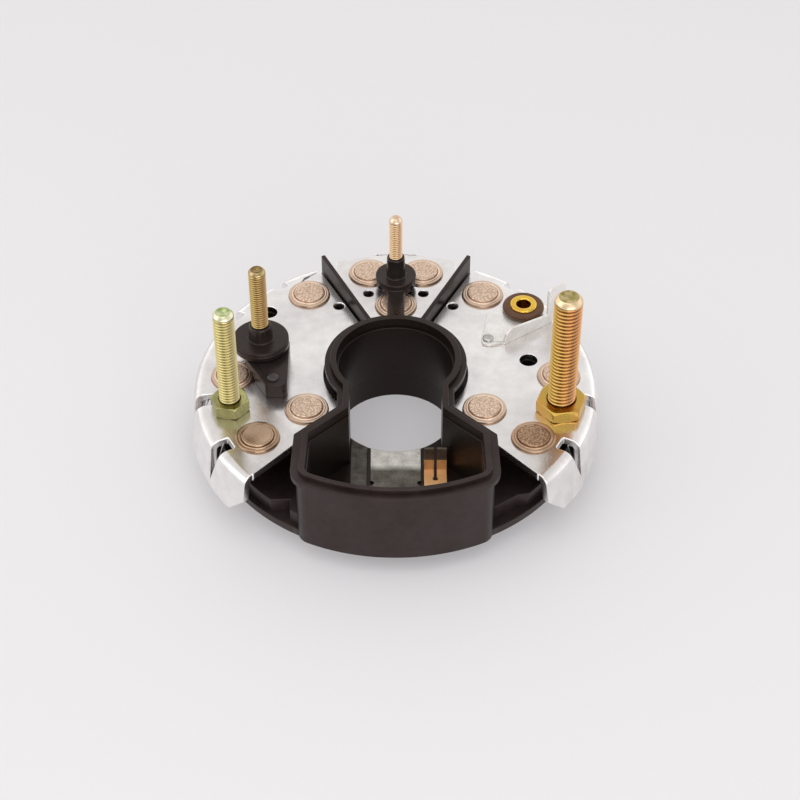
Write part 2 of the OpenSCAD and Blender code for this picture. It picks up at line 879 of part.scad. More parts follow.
// Stepped insulator: a lug with a rivet, a grooved disc on it and a tapered boss round the stud
module tach_insulator() {
    disc_r = tach_disc_d / 2;
    disc_z = plate_z + tach_disc_top - tach_disc_t;
    disc_top = plate_z + tach_disc_top;
    groove = 0.5;
    groove_z = disc_top - tach_disc_t / 3;
    boss_r = tach_d / 2 + 1.15;
    boss_tip_r = boss_r - 0.4;
    boss_top = tach_boss_top;
    color([0.11, 0.11, 0.12])
        difference() {
            union() {
                translate([tach_at[0], tach_at[1], 0])
                    rotate_extrude()
                        polygon([
                            [0, under_z - plate_t],
                            [tach_spigot_r, under_z - plate_t],
                            [tach_spigot_r, plate_z],
                            [tach_foot_d / 2, plate_z],
                            [tach_foot_d / 2, disc_z],
                            [disc_r, disc_z],
                            [disc_r, groove_z - groove / 2],
                            [disc_r - groove, groove_z - groove / 2],
                            [disc_r - groove, groove_z + groove / 2],
                            [disc_r, groove_z + groove / 2],
                            [disc_r, disc_top - groove / 2],
                            [disc_r - groove / 2, disc_top],
                            [boss_r, disc_top],
                            [boss_tip_r, boss_top - groove],
                            [boss_tip_r - groove, boss_top],
                            [0, boss_top]
                        ]);
                translate([0, 0, plate_z])
                    linear_extrude(lug_h)
                        lug_outline();
            }
            translate([tach_at[0], tach_at[1], 0])
                cylinder(d = tach_d + 2 * clearance, h = far);
            translate([lug_at[0], lug_at[1], 0])
                cylinder(d = rivet_d + 2 * clearance, h = far);
            translate([-side_diode_x, side_diode_y, plate_z - 1])
                cylinder(r = head_d / 2 + sleeve_gap, h = head_h + disc_h + sleeve_gap + 1);
        }
}

// Plan of the tach insulator's lug, from the disc to the rivet
module lug_outline() {
    foot_r = tach_foot_d / 2;
    polygon([
        lug_at + [4.2, -1.4],
        lug_at + [4, -2.2],
        lug_at + [3.3, -2.9],
        lug_at + [2.3, -3.2],
        lug_at + [-1, -3.2],
        lug_at + [-1.8, -3],
        lug_at + [-2.4, -2.4],
        tach_at + [-4.2, -6.4],
        tach_at + [-4.8, -2.4],
        on_circle(tach_at, foot_r, 180),
        on_circle(tach_at, foot_r, 150),
        on_circle(tach_at, foot_r, 120),
        on_circle(tach_at, foot_r, 90),
        on_circle(tach_at, foot_r, 60),
        tach_at + [7.4, 2.8],
        tach_at + [8.3, 1.6]
    ]);
}

// Rivet from a seat down through the plate, with its tail set under the plate
module rivet(p, seat, tint) {
    color(tint)
        translate([p[0], p[1], 0])
            rotate_extrude()
                polygon([
                    [0, under_z - rivet_head_h],
                    [rivet_head_d / 2, under_z - rivet_head_h],
                    [rivet_head_d / 2, under_z],
                    [rivet_d / 2, under_z],
                    [rivet_d / 2, seat],
                    [rivet_head_d / 2, seat],
                    [rivet_head_d / 2, seat + rivet_head_h / 2],
                    [rivet_d / 2, seat + rivet_head_h],
                    [0, seat + rivet_head_h]
                ]);
}

module insulator_rivet() {
    rivet(lug_at, plate_z + lug_h, [0.14, 0.14, 0.15]);
}

// Flanged sleeve on the exciter stud, with an arm that reaches to the collar
module exciter_sleeve() {
    flange_z = plate_z + head_h + disc_h + sleeve_gap;
    taper = 0.3;
    foot_r = exciter_d / 2 + clearance + 0.5;
    arm_end = rim_outline[0] + plate_gap;
    color([0.09, 0.085, 0.09])
        difference() {
            union() {
                translate([0, exciter_y, 0])
                    rotate_extrude()
                        polygon([
                            [0, plate_z],
                            [foot_r, plate_z],
                            [foot_r, flange_z],
                            [sleeve_flange_d / 2, flange_z],
                            [sleeve_flange_d / 2, flange_z + sleeve_flange_t],
                            [sleeve_d / 2, flange_z + sleeve_flange_t],
                            [sleeve_d / 2 - taper, plate_z + sleeve_top - taper],
                            [sleeve_d / 2 - 2 * taper, plate_z + sleeve_top],
                            [0, plate_z + sleeve_top]
                        ]);
                translate([-arm_w / 2, arm_end, flange_z])
                    cube([arm_w, exciter_y - arm_end, arm_t]);
            }
            translate([0, exciter_y, 0])
                cylinder(d = exciter_d + 2 * clearance, h = far);
        }
}

// Insulating bush, clamped on the blade terminal
module frame_bush() {
    seat = plate_z + blade_t;
    color([0.30, 0.20, 0.15])
        translate([screw_at[0], screw_at[1], 0])
            difference() {
                union() {
                    translate([0, 0, seat])
                        cylinder(d = bush_d, h = bush_t);
                    translate([0, 0, under_z])
                        cylinder(d = bush_spigot_d, h = plate_t + blade_t + eps);
                }
                cylinder(d = eyelet_bore_d + 2 * eyelet_wall + 2 * clearance, h = far);
            }
}

// Brass eyelet: rolled flange on the bush and a tube down into the carrier's post
module frame_eyelet() {
    top = plate_z + blade_t + bush_t;
    tube_r = eyelet_bore_d / 2 + eyelet_wall;
    curl = 0.35;
    color([0.85, 0.62, 0.20])
        translate([screw_at[0], screw_at[1], 0])
            rotate_extrude()
                polygon([
                    [eyelet_bore_d / 2, base_z],
                    [tube_r, base_z],
                    [tube_r, top],
                    [eyelet_d / 2, top],
                    [eyelet_d / 2, top + curl],
                    [eyelet_d / 2 - curl, top + 2 * curl],
                    [eyelet_bore_d / 2 + curl, top + 2 * curl],
                    [eyelet_bore_d / 2, top + curl]
                ]);
}

// Blade terminal: foot under the bush, low flange along its front edge and an upright tab at the end
blade_angle = 35.1;
blade_at = [34.6, 13.7];
tab_from = 13.6;

// Upright face of the blade terminal, along its front edge
module blade_face() {
    tab_to = tab_from + tab_w;
    tab_low = 1.4;
    nick = 1.3;
    polygon([
        [-2.6, 0],
        [-2.6, blade_t + 0.3],
        [-2.2, flange_h - 2.1],
        [-1.2, flange_h - 0.7],
        [0.2, flange_h],
        [tab_from, flange_h - 1.5],
        [tab_from, tab_h - nick],
        [tab_from + nick / 2, tab_h - nick / 4],
        [tab_from + nick, tab_h],
        [tab_to - nick, tab_h],
        [tab_to - nick / 2, tab_h - nick / 4],
        [tab_to, tab_h - nick],
        [tab_to, tab_low],
        [tab_from + 2, tab_low],
        [tab_from + 2, 0]
    ]);
}

module blade_terminal() {
    bush_r = bush_d / 2;
    seam_at = on_circle(blade_at, blade_t / 2, blade_angle + 90);
    color([0.86, 0.86, 0.88])
        difference() {
            union() {
                translate([0, 0, plate_z])
                    linear_extrude(blade_t)
                        polygon([
                            [27.5, 25.5],
                            [26.9, 20.5],
                            blade_rivet_at + [-2, 0.9],
                            blade_rivet_at + [-1.9, -1.4],
                            blade_rivet_at + [-1.3, -2.4],
                            blade_rivet_at + [0.5, -2.9],
                            blade_rivet_at + [3.5, -1.9],
                            on_circle(seam_at, -2.2, blade_angle),
                            on_circle(seam_at, tab_from + 1.6, blade_angle),
                            on_circle(screw_at, bush_r, -20),
                            on_circle(screw_at, bush_r, 15),
                            on_circle(screw_at, bush_r, 50),
                            on_circle(screw_at, bush_r, 85),
                            on_circle(screw_at, bush_r, 120),
                            on_circle(screw_at, bush_r, 150)
                        ]);
                translate([blade_at[0], blade_at[1], plate_z])
                    rotate([0, 0, blade_angle])
                        translate([0, blade_t, 0])
                            rotate([90, 0, 0])
                                linear_extrude(blade_t)
                                    blade_face();
            }
            through_foot(screw_at, bush_spigot_d / 2 + clearance);
            through_foot(blade_rivet_at, rivet_d / 2 + clearance);
        }
}

// Hole through the blade terminal's foot
module through_foot(p, r) {
    translate([p[0], p[1], plate_z - 1])
        cylinder(r = r, h = blade_t + 2);
}

module blade_rivet() {
    rivet(blade_rivet_at, plate_z + blade_t, [0.78, 0.78, 0.80]);
}

// Plan of an arc of a phase bar
module bar_arc(r, from, to) {
    steps = 8;
    intersection() {
        difference() {
            circle(r = r + bar_w / 2, $fn = 128);
            circle(r = r - bar_w / 2, $fn = 128);
        }
        polygon(concat(
            [[0, 0]],
            [for (i = [0 : steps]) on_circle([0, 0], far, from + (to - from) * i / steps)]
        ));
    }
}

// Plan of a radial link of a phase bar between two radii
module bar_link(angle, from, to) {
    rotate(angle)
        translate([from, -bar_w / 2])
            square([to - from, bar_w]);
}

// Bar of the given plan on the deck, with a tube down through the deck for its stator lead
module bar(i) {
    p = stator_at[i];
    color([0.72, 0.45, 0.30]) {
        translate([0, 0, deck_z])
            linear_extrude(bar_t)
                children();
        translate([p[0], p[1], base_z])
            cylinder(r = stator_r, h = deck_h + bar_t / 2);
    }
}

// Phase U joins the inner diodes and the middle exciter diode
module phase_bar_u() {
    r = radius_of(power_at[3]);
    low = angle_of(power_at[3]) - 2;
    bar(0) {
        bar_arc(r, low, 180 - low);
        bar_link(90, r, middle_diode_y + lead_d + bar_w / 4);
    }
}

// Phase V joins the back diodes and one outer exciter diode, round the outside
module phase_bar_v() {
    r = radius_of(stator_at[1]);
    a = angle_of(power_at[0]);
    near = radius_of(power_at[0]) - lead_d;
    reach = r + bar_w / 4;
    bar(1) {
        bar_arc(r, a, 180 - a);
        bar_link(a, near, reach);
        bar_link(180 - a, near, reach);
        bar_link(angle_of(exciter_at[0]), radius_of(exciter_at[0]) - lead_d, reach);
    }
}

// Phase W joins the side diodes, the other outer exciter diode and the tach stud
module phase_bar_w() {
    r = radius_of(stator_at[2]);
    outer = radius_of(power_at[1]);
    low = angle_of(power_at[1]) - 2;
    jog = 25;
    near = r - bar_w / 4;
    reach = outer + bar_w / 4;
    bar(2) {
        bar_arc(r, jog, angle_of(tach_at));
        bar_link(jog, near, reach);
        bar_link(180 - jog, near, reach);
        bar_arc(outer, low, jog);
        bar_arc(outer, 180 - jog, 180 - low);
        bar_link(angle_of(exciter_at[1]), near, radius_of(exciter_at[1]) + lead_d / 2);
        translate(tach_at)
            circle(r = tach_foot_r - 0.5);
    }
}

// Neutral bar joins the front diodes
module neutral_bar() {
    r = radius_of(stator_at[3]);
    a = angle_of(power_at[2]);
    near = r - bar_w / 4;
    reach = radius_of(power_at[2]) + lead_d;
    bar(3) {
        bar_arc(r, a, 180 - a);
        bar_link(a, near, reach);
        bar_link(180 - a, near, reach);
    }
}

// Contacts on the brush box floor: front ends lie under the front wall's rim
contact_front = 46;
contact_edge_r = spigot_bore_r + 0.6;
plate_half = 7.4;
strip_from = 8.3;
strip_w = 4.9;
fork_from = 8.2;
fork_w = 6.6;

// Flat contact between two sideways places, cut round the bore
module contact_flat(from, to) {
    difference() {
        translate([from, -contact_front, floor_z])
            cube([to - from, contact_front, contact_t]);
        translate([0, 0, floor_z - 1])
            cylinder(r = contact_edge_r, h = contact_t + 2);
    }
}

module contact_plate() {
    notch_r = 1;
    notch_y = 31;
    color([0.70, 0.70, 0.70])
        difference() {
            contact_flat(-plate_half, plate_half);
            for (side = [-1, 1])
                translate([side * plate_half, -notch_y, floor_z - 1])
                    cylinder(r = notch_r, h = far);
        }
}

module contact_strip() {
    color([0.45, 0.46, 0.46])
        contact_flat(-strip_from - strip_w, -strip_from);
}

// Fork: two prongs that turn up beside the neck, with a slit and a round end to it
module contact_fork() {
    slit = 0.8;
    hole_y = 29.1;
    tip_y = 24;
    tip_rise = 8.4;
    tip_run = 0.8;
    color([0.85, 0.50, 0.25])
        difference() {
            translate([fork_from, 0, 0])
                rotate([90, 0, 90])
                    linear_extrude(fork_w)
                        polygon([
                            [-contact_front, floor_z],
                            [-tip_y - tip_run, floor_z],
                            [-tip_y, floor_z + tip_rise],
                            [-tip_y - contact_t, floor_z + tip_rise],
                            [-tip_y - tip_run - contact_t, floor_z + contact_t],
                            [-contact_front, floor_z + contact_t]
                        ]);
            translate([fork_from + fork_w / 2 - slit / 2, -hole_y, 0])
                cube([slit, far, far]);
            translate([fork_from + fork_w / 2, -hole_y, 0])
                cylinder(d = 2 * slit, h = far);
        }
}

carrier();
negative_plate();
positive_plate();
exciter_plate();
diode(flip(power_at[0]));  // negative_diode_1
diode(flip(power_at[1]));  // negative_diode_2
diode(flip(power_at[2]));  // negative_diode_3
diode(flip(power_at[3]));  // negative_diode_4
diode(power_at[0]);  // positive_diode_1
diode(power_at[1]);  // positive_diode_2
diode(power_at[2]);  // positive_diode_3
diode(power_at[3]);  // positive_diode_4
diode(exciter_at[0]);  // exciter_diode_1
diode(exciter_at[1]);  // exciter_diode_2
diode(exciter_at[2]);  // exciter_diode_3
positive_stud();
positive_nut();
negative_stud();
negative_nut();
tach_stud();
tach_insulator();
insulator_rivet();
exciter_stud();
exciter_sleeve();
frame_bush();
frame_eyelet();
blade_terminal();
blade_rivet();
phase_bar_u();
phase_bar_v();
phase_bar_w();
neutral_bar();
contact_plate();
contact_strip();
contact_fork();
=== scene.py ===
"""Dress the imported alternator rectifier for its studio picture.

The solids come in as a fixed frame. Most are shown through softened copies with rounded edges, the diodes are
turned anew, the studs get helical threads, and every surface gets a finish made of shader nodes. All sizes
are in metres unless a name says mm.
"""

import logging
import math
from dataclasses import dataclass
from enum import Enum
from typing import Optional, Union

import bmesh
import bpy
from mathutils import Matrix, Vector
from mathutils.bvhtree import BVHTree


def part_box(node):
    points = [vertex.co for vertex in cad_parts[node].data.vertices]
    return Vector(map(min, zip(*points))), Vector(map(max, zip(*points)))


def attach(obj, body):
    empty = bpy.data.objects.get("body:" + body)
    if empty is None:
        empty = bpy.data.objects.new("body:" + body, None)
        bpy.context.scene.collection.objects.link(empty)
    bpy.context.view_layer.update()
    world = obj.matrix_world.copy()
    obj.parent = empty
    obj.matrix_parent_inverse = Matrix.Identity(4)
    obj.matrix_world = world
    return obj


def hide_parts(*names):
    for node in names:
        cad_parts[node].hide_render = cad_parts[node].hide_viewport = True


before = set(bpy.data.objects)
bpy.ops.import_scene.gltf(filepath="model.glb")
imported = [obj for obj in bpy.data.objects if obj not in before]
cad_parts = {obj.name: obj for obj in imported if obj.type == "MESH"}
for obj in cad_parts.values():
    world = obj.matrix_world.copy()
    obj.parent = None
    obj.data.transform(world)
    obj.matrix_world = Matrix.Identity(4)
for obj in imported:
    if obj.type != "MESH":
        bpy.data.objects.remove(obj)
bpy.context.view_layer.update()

LOG = logging.getLogger("rectifier")
MM = 0.001
BODY = "root"

# Faces within FLAT are joined, and an edge folded past FOLD is a sliver, which isn't rounded.
FLAT = math.radians(0.6)
FOLD = math.radians(150.0)

# Angles in degrees from which an edge is shaded sharp.
SHARP_DEG = 40.0
DIODE_SHARP_DEG = 50.0
ROUNDED_SHARP_DEG = 60.0

# Shares of the pitch: the depth of a thread, and how far a rolled shank lies below its crest.
THREAD_DEPTH = 0.613
SHANK_DROP = 0.325

FRONT_DIODES_MM = -24.0

Colour = tuple[float, float, float]
Socket = bpy.types.NodeSocket
Feed = Union[Socket, float, int, tuple, None]


class Group(Enum):
    """Shader node groups that several finishes share."""

    MOTTLE = "soft_mottle"
    SCRATCH = "hairline_scratches"
    SPECKLE = "fine_speckle"


class Axis(Enum):
    """Axes along which a finish may change."""

    X = "X"
    Y = "Y"
    Z = "Z"


class Canvas:
    """Adds nodes to one node tree and wires them."""

    def __init__(self, tree: bpy.types.NodeTree) -> None:
        """Clear the tree.

        Args:
            tree: The node tree to fill.
        """
        self.tree = tree
        tree.nodes.clear()

    def add(self, kind: str, feeds: Optional[dict] = None, **settings: object) -> bpy.types.Node:
        """Add one node.

        Args:
            kind: Blender's node type.
            feeds: Sockets by name or number, each with a plain value or a socket to link from.
            **settings: Node attributes to set before the sockets.

        Returns:
            The new node.
        """
        node = self.tree.nodes.new(kind)
        for name, value in settings.items():
            setattr(node, name, value)
        for key, value in (feeds or {}).items():
            self.feed(node.inputs[key], value)
        return node

    def feed(self, target: Socket, value: Feed) -> None:
        """Set a socket, or link another socket to it.

        Args:
            target: The input socket.
            value: A plain value or an output socket.
        """
        if isinstance(value, bpy.types.NodeSocket):
            self.tree.links.new(value, target)
        elif value is not None:
            target.default_value = value

    def math(self, operation: str, first: Feed, second: Feed = None, clamp: bool = False) -> Socket:
        """Add a math node.

        Args:
            operation: Blender's name of the operation.
            first: First value.
            second: Second value, where the operation has one.
            clamp: Whether the result is kept between 0 and 1.

        Returns:
            The result's socket.
        """
        node = self.add("ShaderNodeMath", operation=operation, use_clamp=clamp)
        self.feed(node.inputs[0], first)
        self.feed(node.inputs[1], second)
        return node.outputs[0]

    def ramp(self, value: Feed, low: float, high: float, to_low: float = 0.0, to_high: float = 1.0) -> Socket:
        """Map a range to another, with clamping.

        Args:
            value: The value to map.
            low: Start of its range.
            high: End of its range.
            to_low: Result at the start.
            to_high: Result at the end.

        Returns:
            The result's socket.
        """
        node = self.add(
            "ShaderNodeMapRange",
            {"Value": value, "From Min": low, "From Max": high, "To Min": to_low, "To Max": to_high},
        )
        return node.outputs["Result"]

    def blend(self, factor: Feed, first: Feed, second: Feed, mode: str = "MIX") -> Socket:
        """Mix two colours.

        Args:
            factor: Share of the second colour.
            first: Colour at factor 0.
            second: Colour at factor 1.
            mode: Blender's blend type.

        Returns:
            The colour's socket.
        """
        node = self.add("ShaderNodeMix", data_type="RGBA", blend_type=mode)
        self.feed(node.inputs[0], factor)
        self.feed(node.inputs[6], rgba(first))
        self.feed(node.inputs[7], rgba(second))
        return node.outputs[2]

    def object_place(self, scale: tuple = (1.0, 1.0, 1.0), turn: float = 0.0) -> Socket:
        """Give Object coordinates, turned about Z and stretched.

        Args:
            scale: Stretch along the axes.
            turn: Turn about Z in degrees.

        Returns:
            The coordinates' socket.
        """
        place = self.add("ShaderNodeTexCoord").outputs["Object"]
        mapping = self.add("ShaderNodeMapping", {"Vector": place})
        mapping.inputs["Scale"].default_value = scale
        mapping.inputs["Rotation"].default_value = (0.0, 0.0, math.radians(turn))
        return mapping.outputs["Vector"]

    def along(self, axis: Axis) -> Socket:
        """Give the place along one axis of Object coordinates."""
        return self.add("ShaderNodeSeparateXYZ", {"Vector": self.object_place()}).outputs[axis.value]

    def axis_distance(self, centre: tuple[float, float]) -> Socket:
        """Give the distance from a vertical axis.

        Args:
            centre: Place of the axis.

        Returns:
            The distance's socket.
        """
        place = self.add("ShaderNodeTexCoord").outputs["Object"]
        mapping = self.add("ShaderNodeMapping", {"Vector": place})
        mapping.inputs["Scale"].default_value = (1.0, 1.0, 0.0)
        mapping.inputs["Location"].default_value = (-centre[0], -centre[1], 0.0)
        length = self.add("ShaderNodeVectorMath", {0: mapping.outputs["Vector"]}, operation="LENGTH")
        return length.outputs["Value"]

    def bump(self, height: Socket, strength: float, depth: float) -> Socket:
        """Turn a height into a bumped normal.

        Args:
            height: The height's socket.
            strength: Share of the bump that shows.
            depth: Real height where the height's value is 1.

        Returns:
            The normal's socket.
        """
        node = self.add("ShaderNodeBump", {"Strength": strength, "Distance": depth, "Height": height})
        return node.outputs["Normal"]


def rgba(value: Feed) -> Feed:
    """Add full alpha to a plain colour and leave sockets as they are."""
    if isinstance(value, tuple) and len(value) == 3:
        return (*value, 1.0)
    return value


class GroupShelf:
    """Builds the shared shader node groups once."""

    @staticmethod
    def _new(group: Group, inputs: dict[str, float], outputs: list[str]) -> tuple[Canvas, dict, dict]:
        """Start a group with named sockets.

        Args:
            group: Which group it is.
            inputs: Input names with their default values.
            outputs: Output names.

        Returns:
            The canvas, the input sockets by name and the output sockets by name.
        """
        tree = bpy.data.node_groups.new(group.value, "ShaderNodeTree")
        for name, value in inputs.items():
            socket = tree.interface.new_socket(name=name, in_out="INPUT", socket_type="NodeSocketFloat")
            socket.default_value = value
        for name in outputs:
            tree.interface.new_socket(name=name, in_out="OUTPUT", socket_type="NodeSocketFloat")
        canvas = Canvas(tree)
        start = canvas.add("NodeGroupInput")
        end = canvas.add("NodeGroupOutput")
        return (
            canvas,
            {name: start.outputs[name] for name in inputs},
            {name: end.inputs[name] for name in outputs},
        )

    def build(self) -> None:
        """Build every group."""
        self._mottle()
        self._scratch()
        self._speckle()

    def _mottle(self) -> None:
        """Cloudy patches of two sizes, as a mask."""
        canvas, inputs, outputs = self._new(Group.MOTTLE, {"Scale": 120.0, "Contrast": 0.3}, ["Mask"])
        place = canvas.object_place()
        broad = canvas.add("ShaderNodeTexNoise", {"Vector": place, "Scale": inputs["Scale"], "Detail": 4.0})
        fine_scale = canvas.math("MULTIPLY", inputs["Scale"], 5.3)
        fine = canvas.add("ShaderNodeTexNoise", {"Vector": place, "Scale": fine_scale, "Detail": 3.0})
        both = canvas.math("ADD", broad.outputs["Fac"], canvas.math("MULTIPLY", fine.outputs["Fac"], 0.5))
        level = canvas.math("SUBTRACT", both, 0.75)
        gain = canvas.math("DIVIDE", level, inputs["Contrast"])
        canvas.feed(outputs["Mask"], canvas.math("ADD", gain, 0.5, clamp=True))

    def _scratch(self) -> None:
        """Thin lines in two directions, as a mask."""
        canvas, inputs, outputs = self._new(Group.SCRATCH, {"Amount": 0.3}, ["Mask"])
        lines = []
        for turn, stretch in ((24.0, (900.0, 22.0, 60.0)), (-58.0, (1100.0, 30.0, 60.0))):
            place = canvas.object_place(stretch, turn)
            noise = canvas.add("ShaderNodeTexNoise", {"Vector": place, "Scale": 1.0, "Detail": 2.0})
            lines.append(canvas.ramp(noise.outputs["Fac"], 0.66, 0.74))
        both = canvas.math("MAXIMUM", lines[0], lines[1])
        canvas.feed(outputs["Mask"], canvas.math("MULTIPLY", both, inputs["Amount"]))

    def _speckle(self) -> None:
        """Small pits and grains, as a mask."""
        canvas, inputs, outputs = self._new(Group.SPECKLE, {"Scale": 2600.0}, ["Mask"])
        place = canvas.object_place()
        cells = canvas.add("ShaderNodeTexVoronoi", {"Vector": place, "Scale": inputs["Scale"]})
        canvas.feed(outputs["Mask"], canvas.ramp(cells.outputs["Distance"], 0.15, 0.65))


class Finish:
    """Base of the finishes: makes one material on first use."""

    name: str

    def material(self) -> bpy.types.Material:
        """Give the finish's material, made on first use."""
        known = bpy.data.materials.get(self.name)
        if known is not None:
            return known
        material = bpy.data.materials.new(self.name)
        material.use_nodes = True
        canvas = Canvas(material.node_tree)
        shader = canvas.add("ShaderNodeBsdfPrincipled")
        end = canvas.add("ShaderNodeOutputMaterial", {"Surface": shader.outputs["BSDF"]})
        end.is_active_output = True
        self.paint(canvas, shader)
        return material

    def paint(self, canvas: Canvas, shader: bpy.types.Node) -> None:
        """Wire the finish to the shader."""
        raise NotImplementedError

    @staticmethod
    def use(canvas: Canvas, group: Group, **values: float) -> Socket:
        """Place a shared group.

        Args:
            canvas: The material's canvas.
            group: Which group to place.
            **values: Values of its inputs, by name.

        Returns:
            The group's mask.
        """
        node = canvas.add("ShaderNodeGroup", node_tree=bpy.data.node_groups[group.value])
        for key, value in values.items():
            node.inputs[key].default_value = value
        return node.outputs["Mask"]


@dataclass(frozen=True)
class PlasticFinish(Finish):
    """Moulded plastic with a faint grain."""

    name: str
    base: Colour
    dusty: Colour
    roughness: float = 0.36
    grain_scale: float = 1500.0
    grain_depth: float = 0.00004
    # Distances from the bore over which the painted shade inside the brush box fades out.
    shade_fade_from_mm: float = -1.0
    shade_fade_to_mm: float = 0.0

    def paint(self, canvas: Canvas, shader: bpy.types.Node) -> None:
        """Wire dusty patches, painted shade near the bore that fades out away from it, roughness changes and
        a fine grain.
        """
        patches = self.use(canvas, Group.MOTTLE, Scale=70.0, Contrast=0.45)
        grain = self.use(canvas, Group.SPECKLE, Scale=self.grain_scale)
        # Painted shade: nearer the bore than the first distance, the dusty colour's share drops to a tenth,
        # so the inside of the brush box keeps the darker base colour.
        from_bore = canvas.axis_distance((0.0, 0.0))
        film_and_shade = canvas.ramp(from_bore, self.shade_fade_from_mm * MM, self.shade_fade_to_mm * MM, 0.1, 1.0)
        share = canvas.math("MULTIPLY", film_and_shade, canvas.ramp(patches, 0.0, 1.0, 0.35, 1.0))
        canvas.feed(shader.inputs["Base Color"], canvas.blend(share, self.base, self.dusty))
        canvas.feed(
            shader.inputs["Roughness"],
            canvas.ramp(patches, 0.0, 1.0, self.roughness - 0.05, self.roughness + 0.08),
        )
        canvas.feed(shader.inputs["Normal"], canvas.bump(grain, 0.25, self.grain_depth))
        shader.inputs["IOR"].default_value = 1.5
        shader.inputs["Specular IOR Level"].default_value = 0.36
        shader.inputs["Specular Tint"].default_value = (1.0, 0.80, 0.75, 1.0)


@dataclass(frozen=True)
class MetalFinish(Finish):
    """Bare or plated metal with mottle and hairline scratches."""

    name: str
    base: Colour
    shade: Colour
    roughness: float
    rough_spread: float = 0.08
    mottle_scale: float = 120.0
    mottle_contrast: float = 0.35
    scratch: float = 0.3
    wave_depth: float = 0.0
    metallic: float = 1.0

    def tint(self, canvas: Canvas, clouds: Socket) -> Socket:
        """Give the colour over the surface.

        Args:
            canvas: The material's canvas.
            clouds: Mask of the mottle.

        Returns:
            The colour's socket.
        """
        return canvas.blend(clouds, self.base, self.shade)

    def paint(self, canvas: Canvas, shader: bpy.types.Node) -> None:
        """Wire the mottled colour, the roughness and a shallow waviness."""
        clouds = self.use(canvas, Group.MOTTLE, Scale=self.mottle_scale, Contrast=self.mottle_contrast)
        lines = self.use(canvas, Group.SCRATCH, Amount=self.scratch)
        shader.inputs["Metallic"].default_value = self.metallic
        canvas.feed(shader.inputs["Base Color"], self.tint(canvas, clouds))
        rough = canvas.ramp(clouds, 0.0, 1.0, self.roughness, self.roughness + self.rough_spread)
        scratched = canvas.math("ADD", rough, canvas.math("MULTIPLY", lines, 0.2))
        canvas.feed(shader.inputs["Roughness"], scratched)
        height = canvas.math("SUBTRACT", canvas.math("MULTIPLY", clouds, self.wave_depth), lines)
        canvas.feed(shader.inputs["Normal"], canvas.bump(height, 0.2, 0.00002))


@dataclass(frozen=True)
class ThreadFinish(MetalFinish):
    """Plated thread: two hues across it, painted shade in the grooves, a painted highlight on the chamfered
    tip and a stained end.
    """

    # Colour of the painted shade in the thread's grooves.
    root: Colour = (0.4, 0.25, 0.15)
    # Colour of the painted highlight on the chamfered tip.
    chamfer_highlight: Colour = (0.85, 0.68, 0.45)
    centre: tuple[float, float] = (0.0, 0.0)
    crest_mm: float = 4.0
    depth_mm: float = 0.7
    end_mm: float = 60.0
    top_mm: float = 61.0
    cap: Colour = (0.4, 0.38, 0.12)

    def tint(self, canvas: Canvas, clouds: Socket) -> Socket:
        """Give the plating's colour over the thread, with painted shade in its grooves, a painted highlight
        on its chamfered tip and a stained end.

        Args:
            canvas: The material's canvas.
            clouds: Mask of the mottle.

        Returns:
            The colour's socket.
        """
        distance = canvas.axis_distance(self.centre)
        reach = 0.6 * self.crest_mm * MM
        side = canvas.ramp(canvas.along(Axis.X), self.centre[0] - reach, self.centre[0] + reach, 0.0, 0.7)
        hue = canvas.math("ADD", side, canvas.math("MULTIPLY", clouds, 0.3))
        film_and_shade = canvas.blend(hue, self.base, self.shade)
        # Painted shade: the grooves between the crests take the darker root colour.
        crest = (self.crest_mm - 0.25 * self.depth_mm) * MM
        groove = canvas.ramp(distance, crest - 0.45 * self.depth_mm * MM, crest, 1.0, 0.0)
        # Painted highlight: above the thread's end, the chamfered tip takes a brighter colour.
        end = self.end_mm * MM
        below = canvas.ramp(canvas.along(Axis.Z), end - 0.1 * MM, end, 1.0, 0.0)
        bright = canvas.blend(canvas.math("SUBTRACT", 1.0, below), film_and_shade, self.chamfer_highlight)
        plated = canvas.blend(canvas.math("MULTIPLY", groove, below), bright, self.root)
        spots = self.use(canvas, Group.MOTTLE, Scale=700.0, Contrast=0.3)
        top = self.top_mm * MM
        flat = canvas.math("LESS_THAN", distance, (self.crest_mm - 0.8 * (self.top_mm - self.end_mm)) * MM)
        on_end = canvas.math("MULTIPLY", flat, canvas.ramp(canvas.along(Axis.Z), end, top - 0.3 * MM))
        stain_and_shade = canvas.math("MULTIPLY", on_end, canvas.ramp(spots, 0.0, 1.0, 0.45, 1.0))
        return canvas.blend(stain_and_shade, plated, self.cap)


@dataclass(frozen=True)
class FadeFinish(MetalFinish):
    """Metal whose colour changes along one axis."""

    # The colour that takes over along the axis: painted shade on the fork's bent-up prongs, and the darker
    # front of the contact plate.
    other: Colour = (0.1, 0.1, 0.1)
    axis: Axis = Axis.Z
    start_mm: float = 0.0
    end_mm: float = 1.0

    def tint(self, canvas: Canvas, clouds: Socket) -> Socket:
        """Give the metal's colour, which turns into the other one between the start and the end.

        Args:
            canvas: The material's canvas.
            clouds: Mask of the mottle.

        Returns:
            The colour's socket.
        """
        share = canvas.ramp(canvas.along(self.axis), self.start_mm * MM, self.end_mm * MM)
        # The other colour, mottled: painted shade on the fork's bent-up prongs.
        stain_and_shade = canvas.blend(clouds, self.other, tuple(0.55 * part for part in self.other))
        return canvas.blend(share, super().tint(canvas, clouds), stain_and_shade)


